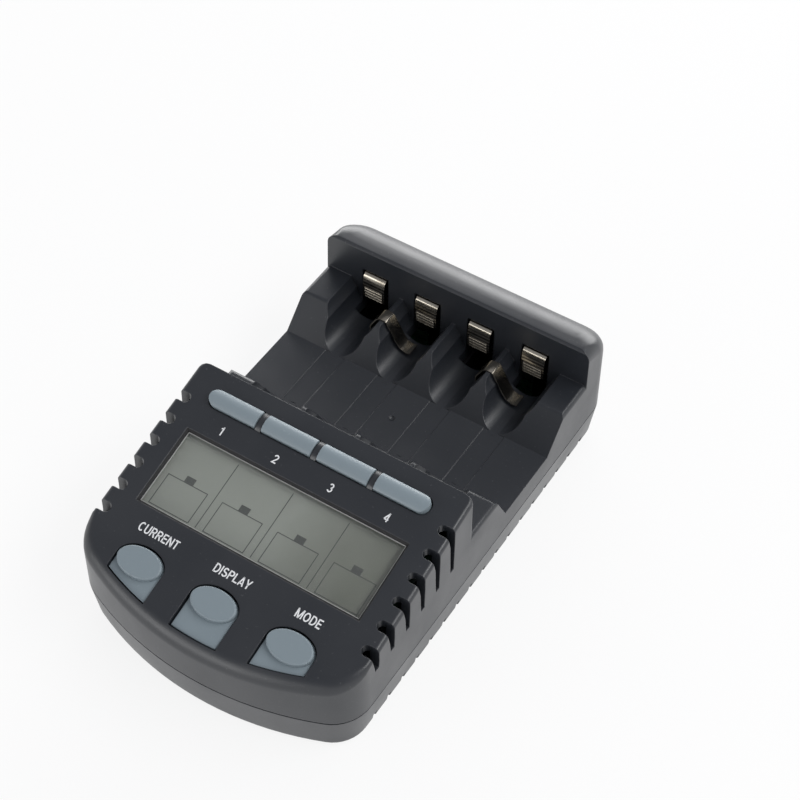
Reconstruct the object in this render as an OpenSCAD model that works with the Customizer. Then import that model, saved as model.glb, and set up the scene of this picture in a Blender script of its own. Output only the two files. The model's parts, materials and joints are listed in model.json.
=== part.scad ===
// Desk charger for four AA or AAA cells: two moulded shells, a sloped display deck with
// seven keys, four battery bays with spring contacts, and the boards inside.
// Millimetres, +Z up, front of the case towards -Y, origin under the middle of the case.

/* [Case] */
// Width of the case at the joint line
case_w = 75; // [74:0.5:84]
// Length of the case, front to back
case_l = 123; // [122:0.5:132]
// Height of the joint line between the shells
joint_z = 11.5; // [11:0.25:12.5]
// Depth of the shadow groove along the joint line
joint_groove = 0.35; // [0.2:0.05:0.6]
// Wall thickness of both shells
wall = 2.2; // [1.8:0.1:2.4]
// Lean of the upper side walls, degrees
side_draft = 1; // [0.5:0.1:2.5]
// Inward taper of the lower shell, joint line to base
base_taper = 1.3; // [0.8:0.1:1.6]
// Radius of the bottom edge of the lower shell
base_edge_r = 1.2; // [0.6:0.1:1.6]

/* [Outline] */
// Radius of the bowed front wall
front_r = 80; // [70:1:100]
// Corner radius between front and sides
front_corner_r = 10; // [8:0.5:12]
// Radius of the two rear corners
rear_corner_r = 7; // [5:0.5:8]

/* [Display deck] */
// Height of the deck at its rear edge
deck_top = 38.5; // [37:0.25:41]
// Slope of the deck, degrees
deck_slope = 14.5; // [13:0.25:15.5]
// Rounding of the deck's bowed front edge
deck_edge_r = 3.5; // [2.5:0.25:4]
// Rounding of the deck's side edges
deck_side_r = 1.2; // [0.8:0.1:1.6]
// Rounding of the two upright edges at the deck's rear
deck_corner_r = 1.5; // [0.5:0.1:2]
// Window width
window_w = 58.8; // [54:0.2:60]
// Window length, along the slope
window_l = 19.5; // [17:0.25:20.5]
// Deck's rear edge to the window's centre, along the slope
window_v = 26.4; // [25.9:0.1:26.9]
// Bevel round the window
window_bevel = 0.6; // [0.3:0.1:0.8]
// Thickness of the clear lens
lens_t = 1.2; // [0.8:0.1:1.4]
// Air gap between the lens and the glass behind it
lens_gap = 0.3; // [0.2:0.05:0.4]
// Ledge that holds the lens, each side
lens_ledge = 1.5; // [1:0.1:2]
// Thickness of the liquid crystal glass
lcd_t = 2.4; // [2:0.1:2.8]
// Border of the liquid crystal glass past the window, front and back
lcd_border = 2.4; // [2:0.1:2.6]

/* [Slot keys] */
// Length of the row of four slot keys
bar_l = 59; // [56:0.5:61]
// Width of the slot keys
bar_w = 4.4; // [4:0.1:5]
// Height of the slot keys above the deck
bar_rise = 1.6; // [1:0.1:2]
// Crown radius of the slot keys
bar_crown_r = 3.2; // [3:0.1:5]
// Black rib between two slot keys
rib_w = 1.5; // [1:0.1:2]
// Height of those ribs above the deck
rib_rise = 1.1; // [0.6:0.1:1.4]
// Deck's rear edge to the middle of the slot keys, along the slope
bar_v = 6.9; // [6.7:0.1:7.5]

/* [Front keys] */
// Spacing of the three front keys
front_key_pitch = 20.1; // [19:0.1:21]
// Width of the raised oval
oval_w = 11.5; // [10.6:0.1:11.6]
// Length of the raised oval, along the slope
oval_l = 7.2; // [6:0.1:7.6]
// Height of the oval above the deck
oval_rise = 0.7; // [0.3:0.1:1.5]
// Rounding of the oval's top edge
oval_edge_r = 0.5; // [0.2:0.1:0.6]
// Width of the tab under the oval
tab_w = 12; // [11.4:0.1:12.4]
// Depth of the tab's top below the deck
tab_drop = 3; // [2.4:0.1:3.2]
// Distance from the front wall to the tab's front edge
tab_inset = 2.6; // [2.4:0.1:4]
// Deck's front edge to the middle of the oval, along the slope
front_key_set = 11.1; // [10.8:0.1:11.4]

/* [Key action] */
// Travel of every key
key_travel = 0.6; // [0.3:0.05:0.8]
// Gap round every key
key_gap = 0.3; // [0.25:0.05:0.4]
// Rim that keeps a key in its opening
key_rim = 0.7; // [0.6:0.05:0.8]
// Thickness of that rim
key_rim_t = 1; // [0.8:0.1:1.2]
// Thickness of the skirt under the deck round every key
skirt_t = 1.2; // [0.9:0.1:1.4]

/* [Battery bays] */
// Spacing of the bays
bay_pitch = 15.25; // [15.1:0.05:15.4]
// Length of a bay between its end walls
bay_l = 52; // [51.5:0.25:52.5]
// Height of the tray floor
floor_z = 17.4; // [17:0.1:18]
// Height of the shelves at both ends of the tray
shelf_z = 25.6; // [25:0.1:26.2]
// Groove radius for an AA cell
aa_r = 7.4; // [7.3:0.05:7.5]
// Groove radius for an AAA cell
aaa_r = 5.4; // [5.3:0.05:5.6]
// Height of the AA groove's bottom above the floor
aa_lift = 2.9; // [2.7:0.1:3.1]
// Depth of the AAA groove's bottom below the floor
aaa_sink = 0.2; // [0.15:0.05:0.4]
// Width of the shallow lane on the floor of each bay
lane_w = 5.7; // [4:0.1:7]
// Depth of that lane
lane_d = 0.12; // [0.1:0.01:0.14]
// Rounding between the shelves and their ramps
shelf_edge_r = 1.5; // [0.5:0.1:2]
// Rounding of the shelves' outer side edges
shelf_side_r = 1.2; // [0.4:0.1:1.6]
// Flat part of the rear shelf
rear_shelf = 10.6; // [10:0.2:12]
// Length of the rear ramp
rear_ramp = 7.6; // [6:0.2:9]
// Flat part of the front shelf
front_shelf = 10.2; // [9.4:0.2:10.8]
// Length of the front ramp
front_ramp = 4.2; // [3.8:0.2:6]

/* [Rear block] */
// Height of the rear block
rear_top = 36.8; // [36:0.2:38]
// Depth of the rear block
rear_depth = 12.9; // [12.6:0.1:14]
// Rounding of its top edge, rear and sides
rear_edge_r = 2.8; // [2.5:0.1:3.2]
// Length of the crown that rolls its top off to the rear
rear_crown = 11.8; // [8:0.1:12]
// Drop of that crown
rear_drop = 8.8; // [6:0.1:9.4]
// Bevel on its front top edge
rear_bevel = 0.6; // [0.3:0.1:1]

/* [Contacts] */
// Width of a spring contact
contact_w = 6.2; // [5.5:0.1:6.6]
// Thickness of a spring contact
contact_t = 0.4; // [0.3:0.05:0.5]
// Top edge of the contacts
contact_top = 29.3; // [29:0.1:30]
// How far a contact stands into the bay
contact_bulge = 1; // [0.6:0.1:1.3]
// Room between a contact and its window
contact_room = 0.7; // [0.5:0.1:1]
// How far the slot under a contact reaches into its bay
contact_slot = 3.5; // [2:0.1:4]
// Width of a contact's tail
tail_w = 3; // [2:0.2:4]
// Ridges pressed into a contact
ridge_count = 8; // [4:1:9]
// Radius of those ridges
ridge_r = 0.22; // [0.15:0.01:0.25]
// Width of a temperature strip
strip_w = 3.6; // [3:0.1:4.4]
// Thickness of a temperature strip
strip_t = 0.3; // [0.2:0.05:0.35]
// Rear block to the middle of a strip
strip_set = 7.1; // [6.4:0.1:8]

/* [Cooling slots] */
// Slots in each side of the deck
slot_count = 6; // [3:1:6]
// Spacing of the slots
slot_pitch = 6.1; // [5.6:0.1:6.2]
// Width of a slot at the deck
slot_w = 2.5; // [2.2:0.1:3]
// Width of a slot at its lower end
slot_end_w = 1.4; // [1.2:0.1:2]
// Height of the slots' lower ends
slot_bottom = 22.4; // [21.5:0.1:24]
// Deck's rear edge to the first slot
slot_first = 9.6; // [8:0.1:10]
// Side wall to the middle of a slot's round end
slot_reach = 2.3; // [1.9:0.1:2.6]

/* [Base] */
// Notches along each bottom side edge
notch_count = 17; // [9:1:17]
// Spacing of the notches
notch_pitch = 5.83; // [5:0.01:5.9]
// Width of a notch
notch_w = 1.5; // [1:0.1:2]
// Height of a notch
notch_h = 2.6; // [1.5:0.1:3.5]
// Depth of a notch into the wall
notch_d = 1.2; // [0.8:0.1:1.4]
// Front to back position of the middle notch
notch_mid = 4; // [3:0.1:5]
// Air slots in the base
vent_count = 7; // [3:1:8]
// Spacing of the air slots
vent_pitch = 6; // [5:0.1:6]
// Width of an air slot
vent_w = 2; // [1:0.1:2.5]
// Length of an air slot
vent_l = 24; // [12:1:30]
// Side of the case to the middle of a foot
foot_in = 8.5; // [8:0.1:9.5]
// Front of the case to the front feet
foot_front = 16; // [14:0.5:20]
// Rear of the case to the rear feet
foot_rear = 8; // [7.5:0.1:8.4]
// How far the feet stand out of the base
foot_proud = 0.8; // [0.5:0.1:1.2]
// Radius of a foot
foot_r = 4; // [3:0.25:4.25]
// Depth of a foot's seat
foot_seat = 0.8; // [0.4:0.1:1]

/* [Boards and screws] */
// Thickness of the circuit boards
board_t = 1.6; // [1:0.1:1.8]
// Gap under the main board
board_gap = 1; // [0.8:0.1:1.4]
// Width of the main board
board_w = 52; // [50:0.5:53]
// Front of the case to the main board
board_set = 15; // [13:0.5:18]
// Side of the case to the screws
screw_in = 6.5; // [6:0.1:6.8]
// Front of the case to the front screws
screw_front = 32; // [30:0.5:36]
// Rear of the case to the rear screws
screw_rear = 19; // [18.6:0.1:21]
// Radius of the screw posts
post_r = 3.8; // [3.6:0.1:4]
// Radius of a screw's shank
screw_r = 1.3; // [1:0.05:1.4]
// Radius of a screw's head
screw_head_r = 2.5; // [2.2:0.1:2.6]
// Radius of the power socket's mouth
socket_r = 3.1; // [2.8:0.05:3.3]
// Radius of the power socket's pin
socket_pin_r = 1; // [0.6:0.05:1.1]

/* [Hidden] */
$fn = 64;

// Shared numbers
eps = 0.01;
over = 1;
far = 200;
bays = 4;
corner_steps = 8;
front_steps = 20;
edge_steps = 6;
crown_steps = 10;
base_steps = 3;
bow_fn = 180;
half_turn = 180;
quarter = 90;
least_r = 0.5;

// Clearances: pieces that seat, pieces that pass through, threads, screw heads
snug = 0.1;
loose = 0.3;
thread_gap = 0.05;
head_gap = 0.4;

// Outline
half_w = case_w / 2;
front_y = -case_l / 2;
rear_y = case_l / 2;
front_c = front_y + front_r;
corner_x = half_w - front_corner_r;
corner_y = front_c - sqrt(pow(front_r - front_corner_r, 2) - pow(corner_x, 2));
corner_a = atan2(corner_y - front_c, corner_x);
draft_k = tan(side_draft);
hollow_k = 1 - draft_k * (deck_top - joint_z) / half_w;

// Levels and stations, front to back
rear_face = rear_y - rear_depth;
deck_face = rear_face - bay_l;
rear_edge = rear_face - rear_shelf;
rear_toe = rear_edge - rear_ramp;
front_edge = deck_face + front_shelf;
front_toe = front_edge + front_ramp;
tray_mid = (front_toe + rear_toe) / 2;
ceiling_z = floor_z - wall;
base_z = foot_proud;
base_floor = base_z + wall;
lower_wall = wall + base_taper / 2;

// Levels below the deck, measured square to it
deck_t = wall;
rim_play = 0.15;
stem_h = 0.5;
switch_h = 2.8;
skirt_low = tab_drop + key_travel;
rim_top = skirt_low + rim_play;
rim_low = rim_top + key_rim_t;
stem_low = rim_low + stem_h;
switch_top = stem_low + key_travel + snug;
board_top = switch_top + switch_h;
board_low = board_top + board_t;
lens_top = deck_t - lens_t;
lcd_top = deck_t + lens_gap;
lcd_low = lcd_top + lcd_t;

// Keys
slot_key_pitch = (bar_l + rib_w) / bays;
deck_front_r = front_r * cos(deck_slope);
deck_front_v = (deck_face - front_y) / cos(deck_slope);
front_key_v = deck_front_v - front_key_set;
tab_front_r = deck_front_r - tab_inset;
tab_centre = deck_front_r - front_key_set;
tab_margin = 0.25;
tab_back = oval_l / 2 + tab_margin;
stem_r = 1.2;
switch_w = 3.8;
switch_cap_r = 1;
switch_cap_h = 0.9;
// The slot keys' switches sit a little in front of the keys' middle
switch_set = 0.8;
switch_v = bar_v + switch_set;

// Grooves
aa_axis = floor_z + aa_lift + aa_r;
aaa_axis = floor_z - aaa_sink + aaa_r;
dimple_r = 0.9;
dimple_lift = 0.4;

// Cooling slots: part of full width, and how much of it is before the taper
slot_neck = 4;
slot_taper = slot_w - slot_end_w;

// Boards
main_low = base_floor + board_gap;
main_top = main_low + board_t;
main_rear = rear_y - lower_wall - loose;
main_front = front_y + board_set;
stand_r = 2;
stand_in = 4;
lcd_side = 2;
display_half = window_w / 2 - loose;
display_front = front_key_v + switch_w;
display_rear = switch_v - switch_w / 2 - snug;
display_post_r = 1.1;
display_post_in = 3;
connector_w = 2;
connector_in = 2;
link_set = 16;
link_w = 20;
link_t = 2.4;
chip = [12, 12, 1.6];
chip_set = 10;
transistor = [6.6, 6.1, 2.3];
transistor_pitch = 12;
can_r = 3.15;
can_h = 5.4;
can_x = 14;

// Screws and feet
screw_x = half_w - screw_in;
screw_ys = [front_y + screw_front, rear_y - screw_rear];
screw_bite = 5.5;
screw_split = joint_z - 2.5;
screw_tip = screw_split + screw_bite;
head_h = 1.8;
head_seat = base_z + 3.4;
cross_w = 0.6;
cross_d = 0.8;
cross_l = 1.4 * screw_head_r;
upper_post_r = post_r - 0.6;
post_top = ceiling_z + over;
post_rib = 2.4;
foot_x = half_w - foot_in;
foot_ys = [front_y + foot_front, rear_y - foot_rear];
foot_h = foot_proud + foot_seat;

// Power socket
socket_w = 9;
socket_l = 11.5;
socket_h = 9;
socket_rise = 4.9;
socket_axis = main_top + socket_rise;
socket_nose_r = 4;
socket_nose_in = 0.8;
socket_depth = 9.5;
socket_pin_in = 1.5;

// Spring contacts: hook behind the wall, lip at the top edge, drops of the bends below that
// edge, foot set into the wall and its rises above the floor
contact_hook = 2.4;
contact_lip = 0.3;
contact_bends = [1, 3.8, 7.8];
contact_foot = 1.6;
contact_rises = [2.6, 0.5];
tail_lap = 0.5;
ridge_in = 0.6;

// Temperature strips: leg and bends from the top of the ridge, end above the floor, across and up
strip_leg = [-3.4, -3.6];
strip_bends = [[-1.7, -0.75], [-0.8, 0], [0.8, 0], [1.35, -0.5], [2.9, -3.1], [4, -5.2]];
strip_end = [[5.4, 1.3], [7, 0.7], [8.3, 1]];
strip_leg_top = shelf_z + strip_leg[1];

function bay_x(i) = (i - (bays - 1) / 2) * bay_pitch;
function deck_z(y) = deck_top + (y - deck_face) * tan(deck_slope);

// Points along an arc, without its first point
function arc(c, r, a0, a1, n) =
  [for (i = [1 : n]) let (a = a0 + (a1 - a0) * i / n) c + r * [cos(a), sin(a)]];

// Left side round the bowed front to the right side, inset by e
function front_curve(e) = concat(
  [[-half_w + e, corner_y]],
  arc([-corner_x, corner_y], front_corner_r - e, -half_turn, -half_turn - corner_a, corner_steps),
  arc([0, front_c], front_r - e, -half_turn - corner_a, corner_a, front_steps),
  arc([corner_x, corner_y], front_corner_r - e, corner_a, 0, corner_steps)
);

// Right side round the two rear corners to the left side, inset by e
function rear_curve(e) =
  let (r = max(rear_corner_r - e, least_r), c = [half_w - e - r, rear_y - e - r])
  concat(
    [[half_w - e, c[1]]],
    arc(c, r, 0, quarter, corner_steps),
    [[-c[0], rear_y - e]],
    arc([-c[0], c[1]], r, quarter, half_turn, corner_steps)
  );

function case_outline(e) = concat(front_curve(e), rear_curve(e));
function deck_outline(e, y) =
  let (r = deck_corner_r, c = [half_w - e - r, y - r])
  concat(
    [[-c[0], y]],
    arc([-c[0], c[1]], r, quarter, half_turn, base_steps),
    front_curve(e),
    [[half_w - e, c[1]]],
    arc(c, r, 0, quarter, base_steps)
  );
function rear_outline(e, y) = concat(rear_curve(e), [[-half_w + e, y], [half_w - e, y]]);

// Side walls lean in above the joint line
function drafted(p, z) = [p[0] * (1 - draft_k * (z - joint_z) / half_w), p[1], z];
function flat(points, z) = [for (p = points) [p[0], p[1], z]];

function unit(v) = v / norm(v);

// Value between a and b, k of the way
function between(a, b, k) = a + (b - a) * k;

// Corner p between its neighbours a and b, rounded with radius r
function rounded(a, p, b, r) =
  let (
    u = unit(a - p),
    v = unit(b - p),
    half = acos(u * v) / 2,
    c = p + unit(u + v) * r / sin(half),
    reach = r / tan(half)
  ) [for (k = [0 : edge_steps])
      c + r * unit(between(p + u * reach - c, p + v * reach - c, k / edge_steps))];

// Points of an oval with half axes a and b
function oval(a, b) = [for (i = [0 : $fn - 1]) let (t = 2 * half_turn * i / $fn) [a * cos(t), b * sin(t)]];

// Both sides of a bent strip of thickness t along its middle line
function left_of(v) = [-v[1], v[0]];
function mitre(path, i) =
  let (
    last = len(path) - 1,
    a = unit(path[max(i, 1)] - path[max(i, 1) - 1]),
    b = unit(path[min(i + 1, last)] - path[min(i + 1, last) - 1]),
    m = unit(left_of(a) + left_of(b))
  ) m / (m * left_of(a));
function strip_outline(path, t) = concat(
  [for (i = [0 : len(path) - 1]) path[i] + mitre(path, i) * t / 2],
  [for (i = [len(path) - 1 : -1 : 0]) path[i] - mitre(path, i) * t / 2]
);

// Skin through a stack of rings with the same number of points
module loft(rings) {
  n = len(rings[0]);
  top = len(rings) - 1;
  polyhedron(
    points = [for (r = rings) each r],
    faces = concat(
      [[for (j = [0 : n - 1]) j]],
      [for (i = [0 : top - 1], j = [0 : n - 1])
        [i * n + j, (i + 1) * n + j, (i + 1) * n + (j + 1) % n, i * n + (j + 1) % n]],
      [[for (j = [n - 1 : -1 : 0]) top * n + j]]
    )
  );
}

// A profile drawn in Y and Z, drawn out along X
module along_x(w) {
  rotate([90, 0, 90]) linear_extrude(w, center = true) children();
}

// A profile drawn in X and Z, drawn out along Y
module along_y(l) {
  rotate([90, 0, 0]) linear_extrude(l, center = true) children();
}

// Frame of the deck: origin at the middle of its rear edge, +Y up the slope, +Z out of it
module on_deck() {
  translate([0, deck_face, deck_top]) rotate([deck_slope, 0, 0]) children();
}

// Two ends of a stretch with half length h about c
function ends(c, h) = [c - h, c + h];

module both_sides() {
  children();
  mirror([1, 0, 0]) children();
}

module box(x, y, z) {
  translate([x[0], y[0], z[0]]) cube([x[1] - x[0], y[1] - y[0], z[1] - z[0]]);
}

// Bar with round ends along X
module stadium(l, w, z0, z1) {
  straight = l - w;
  box([-straight / 2, straight / 2], [-w / 2, w / 2], [z0, z1]);
  for (s = [-1, 1]) translate([s * straight / 2, 0, z0]) cylinder(d = w, h = z1 - z0);
}

// Upper shell

// The edge rounding grows from the sides round the corners to the middle of the bowed front
module deck_block() {
  sharp = deck_outline(0, deck_face);
  fillet = [for (k = [0 : edge_steps])
    let (
      a = quarter * k / edge_steps,
      side = deck_outline(deck_side_r * (1 - cos(a)), deck_face),
      bow = deck_outline(deck_edge_r * (1 - cos(a)), deck_face)
    ) [for (i = [0 : len(sharp) - 1])
      let (
        share = sqrt(max(0, (corner_y - sharp[i][1]) / (corner_y - front_y))),
        p = between(side[i], bow[i], share),
        r = between(deck_side_r, deck_edge_r, share)
      ) drafted(p, deck_z(p[1]) - r * (1 - sin(a)))]];
  loft(concat([flat(sharp, joint_z)], fillet));
}

// Body of the rear block, or its hollow at wall thickness w: the edge rounding grows from the
// front of the block into the crown at its rear
module rear_body(w) {
  face = rear_face + w;
  depth = rear_depth - 2 * w;
  crown = rear_crown - 2 * w;
  fillet = [for (k = [0 : crown_steps])
    let (
      a = quarter * k / crown_steps,
      inset = (rear_edge_r - w) * (1 - cos(a)),
      roll = (depth - crown * (1 - cos(a))) / (depth - inset)
    ) [for (p = rear_outline(w + inset, face))
      let (
        share = (p[1] - face) / (depth - inset),
        r = between(rear_edge_r, rear_drop, share) - w
      ) drafted([p[0], between(face, p[1], roll)], rear_top - w - r * (1 - sin(a)))]];
  loft(concat([flat(rear_outline(w, face), joint_z)], fillet));
}

module rear_block() {
  difference() {
    rear_body(0);
    along_x(far) polygon([
      [rear_face - over, rear_top + over],
      [rear_face - over, rear_top - rear_bevel - over],
      [rear_face + rear_bevel + over, rear_top + over]
    ]);
  }
}

module tray_block() {
  rear_end = [rear_face + wall, shelf_z];
  front_end = [deck_face - wall, shelf_z];
  toes = [[rear_toe, floor_z], [front_toe, floor_z]];
  foot = [[-half_w, joint_z], [half_w, joint_z]];
  top = [for (p = foot) [drafted(p, shelf_z)[0], shelf_z]];
  intersection() {
    along_x(far) polygon(concat(
      [[front_end[0], joint_z], [rear_end[0], joint_z], rear_end],
      rounded(rear_end, [rear_edge, shelf_z], toes[0], shelf_edge_r),
      toes,
      rounded(toes[1], [front_edge, shelf_z], front_end, shelf_edge_r),
      [front_end]
    ));
    along_y(far) polygon(concat(
      foot,
      rounded(foot[1], top[1], top[0], shelf_side_r),
      rounded(top[1], top[0], foot[0], shelf_side_r)
    ));
  }
}

// Two-step groove at both ends of each bay, a wide arc for AA cells over a narrow one for
// AAA cells, and a shallow lane between them on the floor
module bay_grooves() {
  stretches = [[rear_toe - over, rear_face], [deck_face, front_toe + over]];
  for (i = [0 : bays - 1]) {
    for (g = [[aa_r, aa_axis], [aaa_r, aaa_axis]], y = stretches)
      translate([bay_x(i), y[1], g[1]]) rotate([90, 0, 0]) cylinder(r = g[0], h = y[1] - y[0]);
    box(ends(bay_x(i), lane_w / 2), [front_toe, rear_toe], [floor_z - lane_d, floor_z + over]);
  }
}

// Windows for the contacts in both end walls, and slots in the floor that give them room to bend
module contact_windows() {
  half = contact_w / 2 + contact_room;
  rear = rear_face + wall + over;
  front = deck_face - wall - over;
  for (i = [0 : bays - 1]) {
    for (y = [[rear_face - eps, rear], [front, deck_face + eps]])
      box(ends(bay_x(i), half), y, [floor_z, contact_top + contact_room]);
    for (y = [[rear_face - contact_slot, rear], [front, deck_face + contact_slot]])
      box(ends(bay_x(i), half), y, [ceiling_z - over, floor_z + wall]);
  }
}

module upper_hollow() {
  translate([0, 0, joint_z - over]) linear_extrude(ceiling_z - joint_z + over)
    polygon(case_outline(wall));
  intersection() {
    translate([0, 0, joint_z]) linear_extrude(far) leaned(deck_outline(wall, deck_face - wall));
    on_deck() box([-far, far], [-far, far], [-far, -deck_t]);
  }
  rear_body(wall);
}

// Outline drawn in to the lean of the side walls at the top of the case
module leaned(points) {
  polygon([for (p = points) [p[0] * hollow_k, p[1]]]);
}

module window_opening() {
  half = [window_w / 2, window_l / 2];
  translate([0, -window_v, 0]) {
    box([-half[0], half[0]], [-half[1], half[1]], [-deck_t - over, over]);
    hull() for (s = [0, 1]) {
      g = s * (window_bevel + eps);
      box([-half[0] - g, half[0] + g], [-half[1] - g, half[1] + g],
          [g - window_bevel, g - window_bevel + eps]);
    }
    box([-half[0] - lens_ledge, half[0] + lens_ledge],
        [-half[1] - lens_ledge, half[1] + lens_ledge], [-deck_t - over, -lens_top]);
  }
}

// Outline of a front key, grown by g: oval at the back, cut to the bow in front
module front_key_prism(i, g, z0, z1) {
  x = i * front_key_pitch;
  w = tab_w / 2 + g;
  intersection() {
    union() {
      translate([x, -front_key_v, z0]) linear_extrude(z1 - z0) polygon(oval(w, tab_back + g));
      box([x - w, x + w], [-front_key_v - far, -front_key_v], [z0, z1]);
    }
    translate([0, tab_centre - front_key_v, z0])
      cylinder(r = tab_front_r + g, h = z1 - z0, $fn = bow_fn);
  }
}

// Outlines of all keys, grown by g
module key_prisms(g, z0, z1) {
  translate([0, -bar_v, 0]) stadium(bar_l + 2 * g, bar_w + 2 * g, z0, z1);
  for (i = [-1 : 1]) front_key_prism(i, g, z0, z1);
}

// Skirts that guide the keys under the deck, the long one tied to the bays' end wall
module key_skirts() {
  key_prisms(key_gap + skirt_t, -skirt_low, eps - deck_t);
  box([-bar_l / 2, bar_l / 2], [-bar_v, -wall], [-skirt_low, eps - deck_t]);
}

module slot_ribs() {
  intersection() {
    translate([0, -bar_v, 0]) for (j = [-1 : 1])
      box(ends(j * slot_key_pitch, rib_w / 2),
          [-bar_w / 2 - over, bar_w / 2 + over], [-skirt_low, rib_rise]);
    translate([-far, -bar_v, rib_rise - bar_crown_r]) rotate([0, 90, 0])
      cylinder(r = bar_crown_r, h = 2 * far);
  }
}

// Cooling slots run over the deck's edge and narrow down the side wall
module cooling_slots() {
  inner_x = (half_w - wall) * hollow_k - over;
  both_sides() for (i = [0 : slot_count - 1]) {
    y = deck_face - slot_first - i * slot_pitch;
    z = deck_z(y);
    x = drafted([half_w, 0], z)[0] - slot_reach;
    rear = y + slot_w / 2;
    front = y - slot_w / 2;
    low_rear = rear - slot_taper / 4;
    waist = [[rear, z - slot_neck], [low_rear, slot_bottom],
             [low_rear - slot_end_w, slot_bottom], [front + slot_taper / 2, z - slot_neck]];
    translate([x + far / 2, 0, 0]) along_x(far)
      polygon(concat(waist, [[front, z - slot_neck / 3], [front, z + over], [rear, z + over]]));
    translate([inner_x + far / 2, 0, 0]) along_x(far) polygon(waist);
    translate([x, y, z - slot_neck]) cylinder(d = slot_w, h = slot_neck + over);
  }
}

module strip_slots() {
  for (x = strip_xs())
    box(ends(x + strip_leg[0], strip_t / 2 + loose),
        ends(rear_face - strip_set, strip_w / 2 + loose), [ceiling_z - over, strip_leg_top]);
}

module socket_hole() {
  translate([0, rear_y - lower_wall - over, socket_axis]) rotate([-90, 0, 0])
    cylinder(r = socket_nose_r + loose, h = lower_wall + 2 * over);
}

// Posts for the case screws, tied to the side wall and the tray above
module upper_posts() {
  height = post_top - screw_split;
  at_screws() translate([0, 0, screw_split]) difference() {
    union() {
      cylinder(r = upper_post_r, h = height);
      box([0, screw_in - wall / 2], ends(0, post_rib / 2), [joint_z - screw_split + over, height]);
    }
    translate([0, 0, -over]) cylinder(r = screw_r + thread_gap, h = screw_bite + 2 * over);
  }
}

// Posts under the deck that hold the display board
module display_posts() {
  reach = window_l / 2 + lcd_border + display_post_r + loose;
  both_sides() for (t = [-1, 1])
    translate([display_half - display_post_in, t * reach - window_v, -board_top])
      cylinder(r = display_post_r, h = board_top - deck_t / 2);
}

module upper_shell() {
  color("#2b2c30") {
    difference() {
      union() {
        difference() {
          union() {
            deck_block();
            tray_block();
            rear_block();
          }
          upper_hollow();
        }
        on_deck() key_skirts();
      }
      bay_grooves();
      contact_windows();
      cooling_slots();
      strip_slots();
      socket_hole();
      on_deck() window_opening();
      on_deck() key_prisms(key_gap, -skirt_low - over, bar_rise + over);
      translate([0, tray_mid, floor_z + dimple_lift]) sphere(r = dimple_r);
    }
    on_deck() slot_ribs();
    on_deck() display_posts();
    upper_posts();
  }
}

// Lower shell

module base_block() {
  slope = base_taper / (joint_z - base_z);
  edge = [for (k = [base_steps : -1 : 0]) let (a = quarter * k / base_steps)
    flat(case_outline(base_taper - slope * base_edge_r + base_edge_r * (1 - cos(a))),
         base_z + base_edge_r * (1 - sin(a)))];
  loft(concat(edge, [flat(case_outline(0), joint_z - joint_groove)]));
  translate([0, 0, joint_z - 2 * joint_groove]) linear_extrude(2 * joint_groove)
    polygon(case_outline(joint_groove * 2));
}

module side_notches() {
  both_sides() for (i = [0 : notch_count - 1])
    box([half_w - base_taper - notch_d, far],
        ends(notch_mid + (i - (notch_count - 1) / 2) * notch_pitch, notch_w / 2),
        [0, base_z + notch_h]);
}

module at_screws() {
  both_sides() for (y = screw_ys) translate([screw_x, y, 0]) children();
}

module at_feet() {
  both_sides() for (y = foot_ys) translate([foot_x, y, 0]) children();
}

module lower_shell() {
  stand_z = base_z + wall / 2;
  color("#2b2c30") difference() {
    union() {
      difference() {
        base_block();
        translate([0, 0, base_floor]) linear_extrude(far)
          polygon(case_outline(lower_wall));
      }
      at_screws() translate([0, 0, base_z + eps])
        cylinder(r = post_r, h = screw_split - base_z - eps);
      both_sides() for (y = [main_front + stand_in, tray_mid, main_rear - stand_in])
        translate([board_w / 2 - stand_in, y, stand_z])
          cylinder(r = stand_r, h = main_low - stand_z);
    }
    side_notches();
    socket_hole();
    at_screws() {
      translate([0, 0, -over]) cylinder(r = screw_head_r + head_gap, h = head_seat + over);
      cylinder(r = screw_r + loose, h = far);
    }
    at_feet() cylinder(r = foot_r + snug, h = foot_h);
    for (i = [0 : vent_count - 1])
      translate([(i - (vent_count - 1) / 2) * vent_pitch, tray_mid, 0]) rotate(90)
        stadium(vent_l, vent_w, -over, base_floor + over);
  }
}

// Display

// Flat box behind the window: half width, half length and the levels of its faces
module behind_window(half_x, half_v, low, top) {
  on_deck() box([-half_x, half_x], ends(-window_v, half_v), [-low, -top]);
}

module display_lens() {
  border = lens_ledge - snug;
  color("#c8d0d0", 0.35) behind_window(window_w / 2 + border, window_l / 2 + border, deck_t, lens_top);
}

module lcd_panel() {
  color("#858980") behind_window(window_w / 2 + lcd_side, window_l / 2 + lcd_border, lcd_low, lcd_top);
}

module lcd_connectors() {
  half = display_half - connector_in;
  color("#d8b0a8") on_deck() for (t = [-1, 1])
    box([-half, half], ends(t * window_l / 2 - window_v, connector_w / 2), [-board_top, -lcd_low]);
}

module display_board() {
  color("#2f6b3c") on_deck()
    box([-display_half, display_half], [-display_front, -display_rear], [-board_low, -board_top]);
}

// Small push switches, one under each key
module key_switches() {
  color("#3a3a3c") on_deck() {
    for (i = [0 : bays - 1]) key_switch(slot_key_x(i), -switch_v);
    for (i = [-1 : 1]) key_switch(i * front_key_pitch, -front_key_v);
  }
}

module key_switch(x, v) {
  translate([x, v, -board_top]) {
    box(ends(0, switch_w / 2), ends(0, switch_w / 2), [0, switch_h - switch_cap_h]);
    cylinder(r = switch_cap_r, h = switch_h);
  }
}

// Keys

function slot_key_x(i) = (i - (bays - 1) / 2) * slot_key_pitch;

module key_stem(x, v) {
  translate([x, v, -stem_low]) cylinder(r = stem_r, h = stem_h + key_rim_t / 2);
}

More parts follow.
